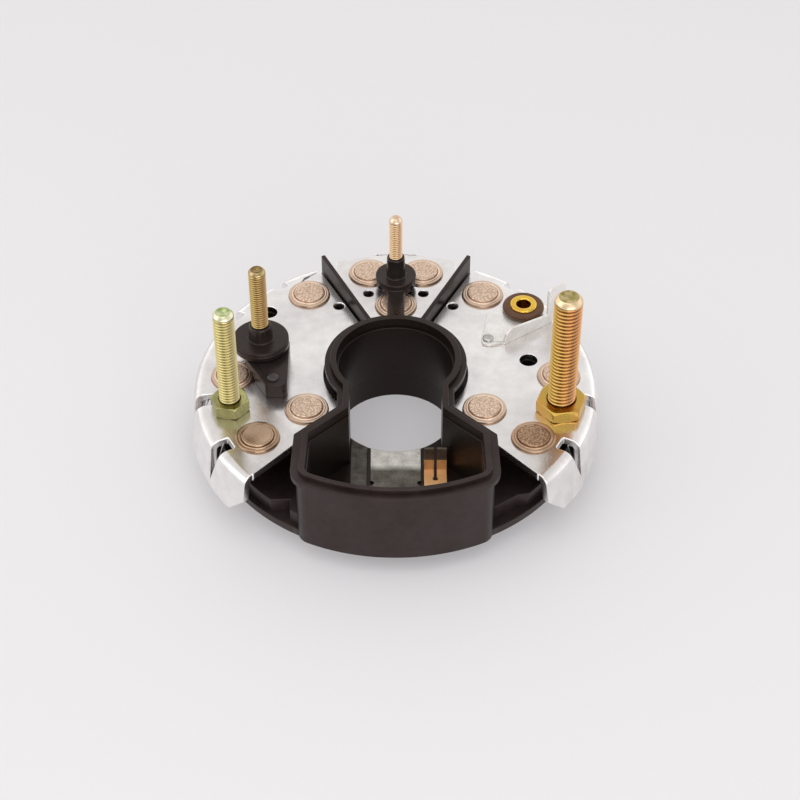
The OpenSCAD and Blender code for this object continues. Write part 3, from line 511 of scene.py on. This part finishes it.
@dataclass(frozen=True)
class PittedFinish(Finish):
    """Plated diode head: satin rim and a speckled, pitted top."""

    name: str
    base: Colour
    dark: Colour
    rim: Colour
    top_z: float
    roughness: float = 0.34
    speckle: float = 0.95

    def paint(self, canvas: Canvas, shader: bpy.types.Node) -> None:
        """Wire speckles on the raised disc and a smoother, deeper rim below it."""
        shader.inputs["Metallic"].default_value = 1.0
        height = canvas.along(Axis.Z)
        on_top = canvas.ramp(height, self.top_z - 0.42 * MM, self.top_z - 0.38 * MM)
        grains = self.use(canvas, Group.SPECKLE, Scale=1700.0)
        clouds = self.use(canvas, Group.MOTTLE, Scale=260.0, Contrast=0.4)
        speckled = canvas.math("MULTIPLY", on_top, grains)
        cloudy = canvas.math("MULTIPLY", clouds, 0.4)
        stain_and_shade = canvas.math("MAXIMUM", cloudy, canvas.math("MULTIPLY", speckled, self.speckle))
        low = canvas.ramp(height, self.top_z - 0.75 * MM, self.top_z - 0.50 * MM, 1.0, 0.0)
        colour = canvas.blend(low, canvas.blend(stain_and_shade, self.base, self.dark), self.rim)
        canvas.feed(shader.inputs["Base Color"], colour)
        canvas.feed(
            shader.inputs["Roughness"],
            canvas.ramp(on_top, 0.0, 1.0, self.roughness, self.roughness + 0.12),
        )
        canvas.feed(shader.inputs["Normal"], canvas.bump(speckled, 0.5, 0.00006 * self.speckle))


@dataclass(frozen=True)
class FloorFinish(Finish):
    """Pale studio floor that stays near white and keeps the object's shadow."""

    name: str
    base: Colour
    glow: float

    def paint(self, canvas: Canvas, shader: bpy.types.Node) -> None:
        """Wire the pale colour and its white share for rays that see it."""
        canvas.feed(shader.inputs["Base Color"], rgba(self.base))
        shader.inputs["Roughness"].default_value = 0.9
        shader.inputs["Specular IOR Level"].default_value = 0.1
        rays = canvas.add("ShaderNodeLightPath")
        seen = canvas.math("MAXIMUM", rays.outputs["Is Camera Ray"], rays.outputs["Is Glossy Ray"])
        seen = canvas.math("MAXIMUM", seen, rays.outputs["Is Transmission Ray"])
        white = canvas.add("ShaderNodeEmission", {"Color": (0.84, 0.82, 0.845, 1.0), "Strength": 1.0})
        share = canvas.math("MULTIPLY", seen, self.glow)
        mixed = canvas.add("ShaderNodeMixShader", {0: share, 1: shader.outputs["BSDF"], 2: white.outputs[0]})
        end = next(node for node in canvas.tree.nodes if node.type == "OUTPUT_MATERIAL")
        canvas.feed(end.inputs["Surface"], mixed.outputs[0])


def finishes(diode_top: float) -> dict[str, Finish]:
    """Give the finishes by their names.

    Args:
        diode_top: Height of the diodes' tops.

    Returns:
        The finishes that the pieces ask for.
    """
    every = [
        # Its dark base colour also stands for painted shade inside the brush box, which fades out between 30
        # and 54 mm from the bore.
        PlasticFinish(
            "moulded_black",
            (0.0062, 0.0034, 0.0018),
            (0.0275, 0.0200, 0.0198),
            0.33,
            shade_fade_from_mm=30.0,
            shade_fade_to_mm=54.0,
        ),
        PlasticFinish("insulator_black", (0.0100, 0.0066, 0.0058), (0.0190, 0.0140, 0.0130), 0.28),
        PlasticFinish("sleeve_black", (0.0120, 0.0086, 0.0070), (0.0240, 0.0185, 0.0165), 0.15),
        PlasticFinish("bush_brown", (0.060, 0.024, 0.010), (0.130, 0.064, 0.034), 0.15),
        PlasticFinish("rivet_black", (0.030, 0.027, 0.027), (0.055, 0.050, 0.050), 0.30),
        MetalFinish(
            "rolled_aluminium",
            (0.97, 0.95, 0.94),
            (0.72, 0.69, 0.685),
            roughness=0.12,
            rough_spread=0.20,
            mottle_scale=46.0,
            mottle_contrast=0.50,
            scratch=0.40,
            wave_depth=0.9,
        ),
        PittedFinish("diode_pale", (0.94, 0.76, 0.62), (0.56, 0.40, 0.29), (0.50, 0.35, 0.25), diode_top),
        PittedFinish("diode_brown", (0.64, 0.44, 0.30), (0.28, 0.17, 0.10), (0.44, 0.30, 0.20), diode_top),
        PittedFinish(
            "diode_smooth",
            (0.56, 0.40, 0.27),
            (0.34, 0.23, 0.155),
            (0.38, 0.25, 0.16),
            diode_top,
            roughness=0.10,
            speckle=0.25,
        ),
        MetalFinish("nut_gold", (0.66, 0.36, 0.09), (0.50, 0.36, 0.075), 0.18, 0.12, 110.0, 0.5),
        MetalFinish("nut_olive", (0.52, 0.50, 0.21), (0.32, 0.30, 0.13), 0.22, 0.12, 90.0, 0.4),
        MetalFinish("eyelet_gold", (0.86, 0.58, 0.10), (0.74, 0.42, 0.06), 0.18, 0.10, 180.0, 0.4),
        MetalFinish(
            "tinned_sheet",
            (0.93, 0.91, 0.89),
            (0.76, 0.73, 0.70),
            roughness=0.24,
            rough_spread=0.2,
            mottle_scale=220.0,
            mottle_contrast=0.4,
            scratch=0.4,
            wave_depth=0.5,
            metallic=0.6,
        ),
        MetalFinish("rivet_grey", (0.66, 0.64, 0.62), (0.42, 0.40, 0.38), 0.24, 0.15, 300.0, 0.5),
        # Darker towards the front of the contact plate.
        FadeFinish(
            "plate_dark_front",
            (0.86, 0.84, 0.80),
            (0.60, 0.57, 0.52),
            roughness=0.36,
            rough_spread=0.2,
            mottle_scale=300.0,
            mottle_contrast=0.5,
            scratch=0.5,
            wave_depth=0.8,
            other=(0.20, 0.18, 0.155),
            axis=Axis.Y,
            start_mm=-23.5,
            end_mm=-26.0,
        ),
        MetalFinish(
            "dull_strip",
            (0.20, 0.18, 0.158),
            (0.088, 0.078, 0.068),
            roughness=0.48,
            rough_spread=0.12,
            mottle_scale=420.0,
            mottle_contrast=0.5,
            scratch=0.6,
            wave_depth=0.8,
        ),
        # Painted shade: the fork's bent-up prongs above 13.5 mm take the dark other colour.
        FadeFinish(
            "fork_copper",
            (0.94, 0.55, 0.25),
            (0.84, 0.45, 0.18),
            roughness=0.40,
            rough_spread=0.1,
            mottle_scale=200.0,
            mottle_contrast=0.4,
            metallic=0.4,
            other=(0.16, 0.125, 0.095),
            start_mm=13.5,
            end_mm=13.6,
        ),
        MetalFinish("bare_copper", (0.90, 0.52, 0.28), (0.78, 0.40, 0.20), 0.22, 0.12, 200.0, 0.4),
    ]
    return {finish.name: finish for finish in every}


class Thread:
    """Geometry Nodes tree that makes a helical thread from named sizes."""

    ROWS = 8
    NAME = "stud_thread"

    def __init__(self) -> None:
        """Build the tree."""
        tree = bpy.data.node_groups.new(self.NAME, "GeometryNodeTree")
        tree.is_modifier = True
        for name in ("Radius", "Depth", "Pitch", "Bottom", "Top", "Centre X", "Centre Y"):
            tree.interface.new_socket(name=name, in_out="INPUT", socket_type="NodeSocketFloat")
        tree.interface.new_socket(name="Segments", in_out="INPUT", socket_type="NodeSocketInt")
        tree.interface.new_socket(name="Finish", in_out="INPUT", socket_type="NodeSocketMaterial")
        tree.interface.new_socket(name="Mesh", in_out="OUTPUT", socket_type="NodeSocketGeometry")
        self.tree = tree
        self._wire()

    def _wire(self) -> None:
        """Wire the tree: a grid is rolled up so that its rows climb one pitch per turn."""
        canvas = Canvas(self.tree)
        start = canvas.add("NodeGroupInput").outputs
        calc = canvas.math
        turns = calc("CEIL", calc("DIVIDE", calc("SUBTRACT", start["Top"], start["Bottom"]), start["Pitch"]))
        rows = calc("ADD", calc("MULTIPLY", calc("ADD", turns, 2.0), float(self.ROWS)), 1.0)
        columns = calc("ADD", start["Segments"], 1.0)
        grid = canvas.add(
            "GeometryNodeMeshGrid", {"Size X": 1.0, "Size Y": 1.0, "Vertices X": columns, "Vertices Y": rows}
        )
        index = canvas.add("GeometryNodeInputIndex").outputs[0]
        column = calc("FLOOR", calc("DIVIDE", calc("ADD", index, 0.5), rows))
        row = calc("SUBTRACT", index, calc("MULTIPLY", column, rows))
        share = calc("DIVIDE", column, start["Segments"])
        climb = calc("DIVIDE", row, float(self.ROWS))
        wave = calc("ABSOLUTE", calc("SUBTRACT", calc("MULTIPLY", calc("FRACT", climb), 2.0), 1.0))
        cut = canvas.ramp(wave, 0.14, 0.86)
        turn = calc("SUBTRACT", calc("ADD", climb, share), 1.0)
        raw = calc("ADD", start["Bottom"], calc("MULTIPLY", start["Pitch"], turn))
        height = calc("MINIMUM", calc("MAXIMUM", raw, start["Bottom"]), start["Top"])
        left = calc("DIVIDE", calc("SUBTRACT", start["Top"], height), start["Pitch"])
        fade = calc("MINIMUM", left, 1.0)
        groove = calc("MULTIPLY", fade, cut)
        radius = calc("SUBTRACT", start["Radius"], calc("MULTIPLY", start["Depth"], groove))
        angle = calc("MULTIPLY", share, 2.0 * math.pi)
        across = calc("ADD", start["Centre X"], calc("MULTIPLY", radius, calc("COSINE", angle)))
        along = calc("ADD", start["Centre Y"], calc("MULTIPLY", radius, calc("SINE", angle)))
        place = canvas.add("ShaderNodeCombineXYZ", {"X": across, "Y": along, "Z": height})
        moved = canvas.add(
            "GeometryNodeSetPosition", {"Geometry": grid.outputs["Mesh"], "Position": place.outputs["Vector"]}
        )
        merged = canvas.add("GeometryNodeMergeByDistance", {"Geometry": moved.outputs[0], "Distance": 1e-6})
        real = canvas.add("GeometryNodeRealizeInstances", {"Geometry": merged.outputs[0]})
        painted = canvas.add(
            "GeometryNodeSetMaterial", {"Geometry": real.outputs[0], "Material": start["Finish"]}
        )
        canvas.add("NodeGroupOutput", {"Mesh": painted.outputs[0]})

    def mesh(self, sizes: dict[str, object]) -> bpy.types.Mesh:
        """Make one thread.

        Args:
            sizes: Values of the tree's inputs, by name.

        Returns:
            A plain mesh of the thread.
        """
        holder = bpy.data.objects.new("thread_holder", bpy.data.meshes.new("thread_holder"))
        bpy.context.scene.collection.objects.link(holder)
        modifier = holder.modifiers.new("thread", "NODES")
        modifier.node_group = self.tree
        for item in self.tree.interface.items_tree:
            if item.in_out == "INPUT" and item.name in sizes:
                modifier[item.identifier] = sizes[item.name]
        graph = bpy.context.evaluated_depsgraph_get()
        mesh = bpy.data.meshes.new_from_object(holder.evaluated_get(graph))
        bpy.data.objects.remove(holder)
        return mesh


def middle(low: Vector, high: Vector) -> tuple[float, float]:
    """Give the place of the vertical axis through the middle of a box."""
    return ((low.x + high.x) / 2.0, (low.y + high.y) / 2.0)


def lathe(profile: list[tuple[float, float]], centre: tuple[float, float], segments: int) -> bpy.types.Mesh:
    """Turn a profile about a vertical axis.

    Args:
        profile: Radius and height of each point, from the bottom to the top.
        centre: Place of the axis.
        segments: Number of steps round the axis.

    Returns:
        A mesh with its normals outwards, open at an end whose radius isn't zero.
    """
    work = bmesh.new()
    rings = []
    for radius, height in profile:
        ring = []
        for step in range(segments):
            angle = 2.0 * math.pi * step / segments
            ring.append(
                work.verts.new(
                    (centre[0] + radius * math.cos(angle), centre[1] + radius * math.sin(angle), height)
                )
            )
        rings.append(ring)
    for low, high in zip(rings, rings[1:]):
        for step in range(segments):
            after = (step + 1) % segments
            work.faces.new((low[step], low[after], high[after], high[step]))
    bmesh.ops.remove_doubles(work, verts=work.verts, dist=1e-7)
    bmesh.ops.recalc_face_normals(work, faces=work.faces)
    mesh = bpy.data.meshes.new("lathe")
    work.to_mesh(mesh)
    work.free()
    return mesh


def joined(name: str, meshes: list[bpy.types.Mesh], sharp_deg: float = SHARP_DEG) -> bpy.types.Object:
    """Join meshes into one new object with smooth faces and sharp corners.

    Args:
        name: Name of the new object.
        meshes: Meshes that already stand in place.
        sharp_deg: Angle in degrees from which an edge stays sharp.

    Returns:
        The linked object.
    """
    work = bmesh.new()
    for mesh in meshes:
        work.from_mesh(mesh)
    mesh = bpy.data.meshes.new(name)
    work.to_mesh(mesh)
    work.free()
    shade(mesh, sharp_deg)
    piece = bpy.data.objects.new(name, mesh)
    bpy.context.scene.collection.objects.link(piece)
    return piece


def shade(mesh: bpy.types.Mesh, sharp_deg: float) -> None:
    """Shade a mesh smooth apart from its sharp edges.

    Args:
        mesh: The mesh.
        sharp_deg: Angle in degrees from which an edge stays sharp.
    """
    mesh.polygons.foreach_set("use_smooth", [True] * len(mesh.polygons))
    mesh.set_sharp_from_angle(angle=math.radians(sharp_deg))


@dataclass
class Piece:
    """One piece of the object, shown in place of its solid."""

    node: str
    slot: str
    finish: str
    round_mm: float = 0.2
    steps: int = 2
    edge_deg: float = 32.0
    round_above: float = -1.0
    inner_edges: bool = True
    weld_mm: float = 0.004

    def build(self) -> bpy.types.Object:
        """Copy the solid, join its triangles and round its edges.

        Returns:
            The softened object.
        """
        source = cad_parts[self.node].data
        work = bmesh.new()
        work.from_mesh(source)
        bmesh.ops.remove_doubles(work, verts=work.verts, dist=self.weld_mm * MM)
        bmesh.ops.dissolve_degenerate(work, dist=self.weld_mm * MM, edges=work.edges)
        bmesh.ops.dissolve_limit(
            work, angle_limit=FLAT, verts=work.verts, edges=work.edges, delimit={"NORMAL"}
        )
        self._choose_edges(work)
        mesh = bpy.data.meshes.new(f"{self.node}_soft")
        work.to_mesh(mesh)
        work.free()
        piece = bpy.data.objects.new(f"{self.node}_soft", mesh)
        bpy.context.scene.collection.objects.link(piece)
        shade(piece.data, SHARP_DEG)
        self._round(piece)
        return piece

    def _choose_edges(self, work: bmesh.types.BMesh) -> None:
        """Mark the edges to round: sharp ones above the lowest level, but no folded sliver.

        Args:
            work: The mesh in work.
        """
        weight = work.edges.layers.float.new("bevel_weight_edge")
        limit = math.radians(self.edge_deg)
        for edge in work.edges:
            low = min(vertex.co.z for vertex in edge.verts)
            if len(edge.link_faces) != 2 or low <= self.round_above:
                continue
            if limit < edge.calc_face_angle() < FOLD and (self.inner_edges or edge.is_convex):
                edge[weight] = 1.0

    def _round(self, piece: bpy.types.Object) -> None:
        """Round the edges of a piece.

        Args:
            piece: The object, whose mesh is replaced by the rounded one.
        """
        bevel = piece.modifiers.new("round", "BEVEL")
        bevel.width = self.round_mm * MM
        bevel.segments = self.steps
        bevel.limit_method = "WEIGHT"
        bevel.use_clamp_overlap = False
        bevel.miter_outer = "MITER_ARC"
        self._apply(piece)
        self._pull_back(piece.data)
        self._keep_crisp(piece.data)
        flatten = piece.modifiers.new("flatten", "WEIGHTED_NORMAL")
        flatten.mode = "FACE_AREA"
        flatten.weight = 60
        flatten.keep_sharp = True
        self._apply(piece)

    @staticmethod
    def _apply(piece: bpy.types.Object) -> None:
        """Turn the live modifiers of an object into a plain mesh."""
        graph = bpy.context.evaluated_depsgraph_get()
        mesh = bpy.data.meshes.new_from_object(piece.evaluated_get(graph))
        piece.modifiers.clear()
        piece.data = mesh

    def _pull_back(self, mesh: bpy.types.Mesh) -> None:
        """Move points that the rounding threw off the solid back onto it.

        Args:
            mesh: The rounded mesh.
        """
        work = bmesh.new()
        work.from_mesh(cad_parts[self.node].data)
        solid = BVHTree.FromBMesh(work)
        work.free()
        limit = 0.6 * self.round_mm * MM
        for vertex in mesh.vertices:
            place, _, _, distance = solid.find_nearest(vertex.co)
            if place is not None and distance > limit:
                vertex.co = place

    def _keep_crisp(self, mesh: bpy.types.Mesh) -> None:
        """Shade the corners sharp that weren't rounded, and shallower ones too below the lowest level.

        Args:
            mesh: The rounded mesh.
        """
        work = bmesh.new()
        work.from_mesh(mesh)
        for edge in work.edges:
            low = max(vertex.co.z for vertex in edge.verts) <= self.round_above
            limit = math.radians(self.edge_deg if low else ROUNDED_SHARP_DEG)
            edge.smooth = len(edge.link_faces) == 2 and edge.calc_face_angle() < limit
        work.to_mesh(mesh)
        work.free()

    def show(self, palette: dict[str, Finish]) -> bpy.types.Object:
        """Build the piece, give it its finish and let it stand for its solid.

        Args:
            palette: The finishes by name.

        Returns:
            The finished object.
        """
        piece = self.build()
        piece.data.materials.clear()
        piece.data.materials.append(palette[self.finish].material())
        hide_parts(self.node)
        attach(piece, BODY)
        LOG.info("%s: %d faces", piece.name, len(piece.data.polygons))
        return piece


@dataclass
class Diode(Piece):
    """A press-fit diode: lead, cup, flange, ring and a disc that may be dished."""

    dish_mm: float = 0.0
    segments: int = 72

    def build(self) -> bpy.types.Object:
        """Turn the diode on a lathe.

        Returns:
            The turned object.
        """
        low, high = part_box(self.node)
        centre = middle(low, high)
        outline = [(radius * MM, height * MM) for radius, height in self._cup(low.z / MM)]
        outline += [(radius * MM, high.z + height * MM) for radius, height in self._head()]
        return joined(f"{self.node}_turned", [lathe(outline, centre, self.segments)], DIODE_SHARP_DEG)

    @staticmethod
    def _cup(low: float) -> list[tuple[float, float]]:
        """Give the outline of the lead and the cup.

        Args:
            low: Height of the lead's lower end in mm.

        Returns:
            Radius and height of each point in mm, upwards.
        """
        return [(0.0, low), (0.7, low), (0.7, 16.9), (3.0, 18.4), (5.8, 18.4), (6.0, 18.6), (6.0, 24.9)]

    def _head(self) -> list[tuple[float, float]]:
        """Give the outline of the flange, the ring and the disc.

        Returns:
            Radius and height below the top of each point in mm, inwards.
        """
        rim = [(6.3, -1.4), (6.3, -0.95), (6.22, -0.76), (6.05, -0.66), (5.5, -0.62), (5.42, -0.66)]
        ring = [(5.36, -0.52), (5.24, -0.44), (4.95, -0.43), (4.84, -0.50), (4.76, -0.78), (4.66, -0.80)]
        disc = [(4.58, -0.24), (4.5, -0.1), (4.34, -0.02), (4.1, 0.0)]
        steps = 8
        for step in range(1, steps + 1):
            share = 1.0 - step / steps
            disc.append((4.1 * share, -self.dish_mm * (1.0 - share * share)))
        return rim + ring + disc


@dataclass
class ThreadedStud(Piece):
    """A rolled stud with a modelled thread, a rounded tip, its shank and its head."""

    radius_mm: float = 4.0
    pitch_mm: float = 1.25
    thread_from_mm: float = 28.9
    head_radius_mm: float = 5.5
    head_top_mm: float = 22.4
    tip_mm: float = 0.9
    dimple_mm: float = 0.0
    segments: int = 48
    thread: Optional[Thread] = None

    def build(self) -> bpy.types.Object:
        """Join the thread, the tip and the plain lower end.

        Returns:
            The threaded object.
        """
        low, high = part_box(self.node)
        centre = middle(low, high)
        thread = self.thread.mesh(
            {
                "Radius": self.radius_mm * MM,
                "Depth": self._depth(),
                "Pitch": self.pitch_mm * MM,
                "Bottom": self.thread_from_mm * MM,
                "Top": high.z - self.tip_mm * MM,
                "Centre X": centre[0],
                "Centre Y": centre[1],
                "Segments": self.segments,
            }
        )
        lower = lathe(self._foot(low.z), centre, self.segments)
        upper = lathe(self._crown(high.z), centre, self.segments)
        return joined(f"{self.node}_threaded", [thread, lower, upper])

    def _depth(self) -> float:
        """Give the depth of the thread."""
        return THREAD_DEPTH * self.pitch_mm * MM

    def _foot(self, low: float) -> list[tuple[float, float]]:
        """Give the outline of the head and the shank.

        Args:
            low: Height of the head's lower face.

        Returns:
            Radius and height of each point, upwards.
        """
        shank = (self.radius_mm - SHANK_DROP * self.pitch_mm) * MM
        head = self.head_radius_mm * MM
        head_top = self.head_top_mm * MM
        edge = 0.2 * MM
        start = self.thread_from_mm * MM
        return [
            (0.0, low),
            (head - edge, low),
            (head, low + edge),
            (head, head_top - edge),
            (head - edge, head_top),
            (shank, head_top),
            (shank, start),
            (shank - edge, start + edge),
        ]

    def _crown(self, top: float) -> list[tuple[float, float]]:
        """Give the outline of the rounded tip.

        Args:
            top: Height of the tip.

        Returns:
            Radius and height of each point, upwards.
        """
        tip = self.tip_mm * MM
        full = self.radius_mm * MM
        flat = full - 0.72 * tip
        points = [(full - 0.25 * MM, top - tip - 0.2 * MM), (full, top - tip)]
        for share, rise in ((0.06, 0.16), (0.2, 0.36), (0.8, 0.84), (0.92, 0.95), (1.0, 1.0)):
            points.append((full + (flat - full) * share, top - tip * (1.0 - rise)))
        if self.dimple_mm > 0.0:
            points.append((flat * 0.8, top))
            points.append((flat * 0.45, top - self.dimple_mm * MM))
            points.append((0.0, top - 1.3 * self.dimple_mm * MM))
        else:
            points.append((0.0, top))
        return points


@dataclass
class Studio:
    """Floor, lamps and the camera at the photograph's viewing angle."""

    tilt_deg: float = 43.2
    lens_mm: float = 87.75
    sensor_mm: float = 36.0
    camera_at: tuple[float, float, float] = (0.00126, -0.4272, 0.4076)
    shift_up: float = 0.0225
    floor_half: float = 3.0

    def build(self) -> None:
        """Set up the whole studio."""
        self._floor()
        self._lamps()
        self._world()
        self._camera()
        bpy.context.scene.view_settings.view_transform = "Standard"

    def _floor(self) -> None:
        """Lay a pale floor under the spigot."""
        mesh = bpy.data.meshes.new("floor")
        half = self.floor_half
        corners = [(-half, -half, 0.0), (half, -half, 0.0), (half, half, 0.0), (-half, half, 0.0)]
        mesh.from_pydata(corners, [], [(0, 1, 2, 3)])
        floor = bpy.data.objects.new("floor", mesh)
        bpy.context.scene.collection.objects.link(floor)
        mesh.materials.append(FloorFinish("studio_floor", (0.77, 0.76, 0.77), 0.3).material())

    def _lamp(self, name: str, place: Vector, aim: Vector, size: tuple[float, float], watts: float) -> None:
        """Add one soft rectangular lamp.

        Args:
            name: Name of the lamp.
            place: Where it stands.
            aim: The point that it faces.
            size: Width and height.
            watts: Power.
        """
        data = bpy.data.lights.new(name, "AREA")
        data.shape = "RECTANGLE"
        data.size, data.size_y = size
        data.energy = watts
        lamp = bpy.data.objects.new(name, data)
        lamp.location = place
        lamp.rotation_euler = (aim - place).to_track_quat("-Z", "Y").to_euler()
        bpy.context.scene.collection.objects.link(lamp)

    def _lamps(self) -> None:
        """Hang a broad lamp above and two fills."""
        aim = Vector((0.0, 0.0, 0.02))
        self._lamp("top_lamp", Vector((-0.12, -0.3, 1.0)), aim, (1.3, 1.1), 4.0)
        self._lamp("front_fill", Vector((0.25, -0.95, 0.3)), aim, (1.0, 0.5), 3.0)
        self._lamp("left_fill", Vector((-0.9, -0.2, 0.5)), aim, (0.6, 0.6), 1.0)

    @staticmethod
    def _world() -> None:
        """Light the room from bright walls, a softer ceiling and a dim front, white to the camera."""
        world = bpy.data.worlds.new("studio_room")
        world.use_nodes = True
        canvas = Canvas(world.node_tree)
        rays = canvas.add("ShaderNodeLightPath")
        seen = canvas.math("MAXIMUM", rays.outputs["Is Camera Ray"], rays.outputs["Is Transmission Ray"])
        place = canvas.add("ShaderNodeTexCoord").outputs["Generated"]
        aim = canvas.add("ShaderNodeSeparateXYZ", {"Vector": place}).outputs
        ceiling = canvas.ramp(aim["Z"], 0.2, 0.95, 1.25, 0.64)
        front = canvas.ramp(aim["Y"], -0.9, 0.2, 0.56, 1.0)
        level = canvas.math("MULTIPLY", ceiling, front)
        room = canvas.add("ShaderNodeBackground", {"Color": (1.0, 0.985, 0.975, 1.0), "Strength": level})
        white = canvas.add("ShaderNodeBackground", {"Color": (0.97, 0.97, 0.99, 1.0), "Strength": 1.0})
        mixed = canvas.add("ShaderNodeMixShader", {0: seen, 1: room.outputs[0], 2: white.outputs[0]})
        canvas.add("ShaderNodeOutputWorld", {"Surface": mixed.outputs[0]})
        bpy.context.scene.world = world

    def _camera(self) -> None:
        """Place the camera that was fitted to the photograph."""
        data = bpy.data.cameras.new("photo_camera")
        data.lens = self.lens_mm
        data.sensor_width = self.sensor_mm
        data.sensor_height = self.sensor_mm
        data.sensor_fit = "HORIZONTAL"
        data.shift_y = self.shift_up
        data.clip_start = 0.01
        camera = bpy.data.objects.new("photo_camera", data)
        camera.location = self.camera_at
        camera.rotation_euler = (math.radians(90.0 - self.tilt_deg), 0.0, 0.0)
        bpy.context.scene.collection.objects.link(camera)
        bpy.context.scene.camera = camera


def softened_pieces() -> list[Piece]:
    """List the pieces that are shown through softened copies of their solids."""
    bars = ["phase_bar_u", "phase_bar_v", "phase_bar_w", "neutral_bar"]
    return [
        Piece(
            "carrier",
            "moulding",
            "moulded_black",
            0.25,
            round_above=8.6 * MM,
            inner_edges=False,
            weld_mm=0.04,
        ),
        Piece("negative_plate", "sink", "rolled_aluminium", 0.4, 3),
        Piece("positive_plate", "sink", "rolled_aluminium", 0.4, 3),
        Piece("exciter_plate", "sink", "rolled_aluminium", 0.4, 3),
        Piece("positive_nut", "gold_zinc", "nut_gold", 0.2),
        Piece("negative_nut", "green_zinc", "nut_olive", 0.2),
        Piece("tach_insulator", "insulator", "insulator_black", 0.3),
        Piece("insulator_rivet", "dark_rivet", "rivet_black", 0.2),
        Piece("exciter_sleeve", "insulator", "sleeve_black", 0.3),
        Piece("frame_bush", "bush", "bush_brown", 0.7, 3),
        Piece("frame_eyelet", "brass", "eyelet_gold", 0.2),
        Piece("blade_terminal", "tin", "tinned_sheet", 0.25),
        Piece("blade_rivet", "tin", "rivet_grey", 0.2),
        *[Piece(name, "copper", "bare_copper", 0.15) for name in bars],
        Piece("contact_plate", "tin", "plate_dark_front", 0.2),
        Piece("contact_strip", "tin", "dull_strip", 0.2),
        Piece("contact_fork", "copper", "fork_copper", 0.15),
    ]


def diodes() -> list[Diode]:
    """List the eleven diodes: the two front ones are darker, and the left one of them is dished deeper."""
    places = [("negative", 4), ("positive", 4), ("exciter", 3)]
    result = []
    for name in (f"{side}_diode_{number + 1}" for side, count in places for number in range(count)):
        low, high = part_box(name)
        front = middle(low, high)[1] < FRONT_DIODES_MM * MM
        if front and low.x < 0.0:
            result.append(Diode(name, "diode", "diode_smooth", dish_mm=0.36))
        else:
            result.append(Diode(name, "diode", "diode_brown" if front else "diode_pale", dish_mm=0.06))
    return result


def threaded_studs(thread: Thread) -> list[ThreadedStud]:
    """List the studs with their threads.

    Args:
        thread: The thread maker.

    Returns:
        The four studs.
    """
    return [
        ThreadedStud("positive_stud", "gold_zinc", "zinc_gold", tip_mm=1.5, dimple_mm=0.1, thread=thread),
        ThreadedStud(
            "negative_stud",
            "green_zinc",
            "zinc_green",
            radius_mm=3.0,
            pitch_mm=1.0,
            head_radius_mm=4.5,
            tip_mm=1.1,
            dimple_mm=0.5,
            thread=thread,
        ),
        ThreadedStud(
            "tach_stud",
            "brass",
            "tach_brass",
            radius_mm=2.5,
            pitch_mm=0.8,
            thread_from_mm=38.1,
            head_radius_mm=4.0,
            head_top_mm=16.0,
            dimple_mm=0.5,
            thread=thread,
        ),
        ThreadedStud(
            "exciter_stud",
            "brass",
            "exciter_brass",
            radius_mm=2.0,
            pitch_mm=0.7,
            thread_from_mm=37.1,
            head_radius_mm=2.8,
            tip_mm=1.2,
            thread=thread,
        ),
    ]


def thread_finishes(studs: list[ThreadedStud]) -> dict[str, Finish]:
    """Give each stud's plating, centred on the stud.

    Args:
        studs: The studs.

    Returns:
        The platings by name.
    """
    # Each plating: two hues, the painted shade in the grooves, the painted highlight on the chamfered tip and
    # the colour of the stained end.
    colours = {
        "zinc_gold": (
            (0.56, 0.38, 0.09),
            (0.76, 0.38, 0.19),
            (0.28, 0.12, 0.035),
            (0.86, 0.66, 0.42),
            (0.30, 0.26, 0.07),
        ),
        "zinc_green": (
            (0.62, 0.53, 0.22),
            (0.54, 0.46, 0.26),
            (0.40, 0.34, 0.15),
            (0.80, 0.78, 0.55),
            (0.34, 0.46, 0.13),
        ),
        "tach_brass": (
            (0.50, 0.37, 0.14),
            (0.46, 0.29, 0.15),
            (0.29, 0.19, 0.07),
            (0.50, 0.38, 0.18),
            (0.20, 0.12, 0.04),
        ),
        "exciter_brass": (
            (0.74, 0.56, 0.34),
            (0.78, 0.54, 0.39),
            (0.50, 0.34, 0.18),
            (0.84, 0.64, 0.47),
            (0.66, 0.46, 0.31),
        ),
    }
    result = {}
    for stud in studs:
        low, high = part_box(stud.node)
        base, shade_colour, root, chamfer_highlight, cap = colours[stud.finish]
        result[stud.finish] = ThreadFinish(
            stud.finish,
            base,
            shade_colour,
            roughness=0.20,
            rough_spread=0.12,
            mottle_scale=55.0,
            mottle_contrast=0.35,
            root=root,
            chamfer_highlight=chamfer_highlight,
            centre=middle(low, high),
            crest_mm=stud.radius_mm,
            depth_mm=THREAD_DEPTH * stud.pitch_mm,
            end_mm=high.z / MM - stud.tip_mm,
            top_mm=high.z / MM,
            cap=cap,
        )
    return result


def main() -> None:
    """Build the studio and the dressed rectifier."""
    logging.basicConfig(level=logging.INFO, format="%(name)s: %(message)s")
    GroupShelf().build()
    Studio().build()
    studs = threaded_studs(Thread())
    palette = finishes(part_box("positive_diode_1")[1].z) | thread_finishes(studs)
    for piece in [*softened_pieces(), *diodes(), *studs]:
        piece.show(palette)


if __name__ == "__main__":
    main()
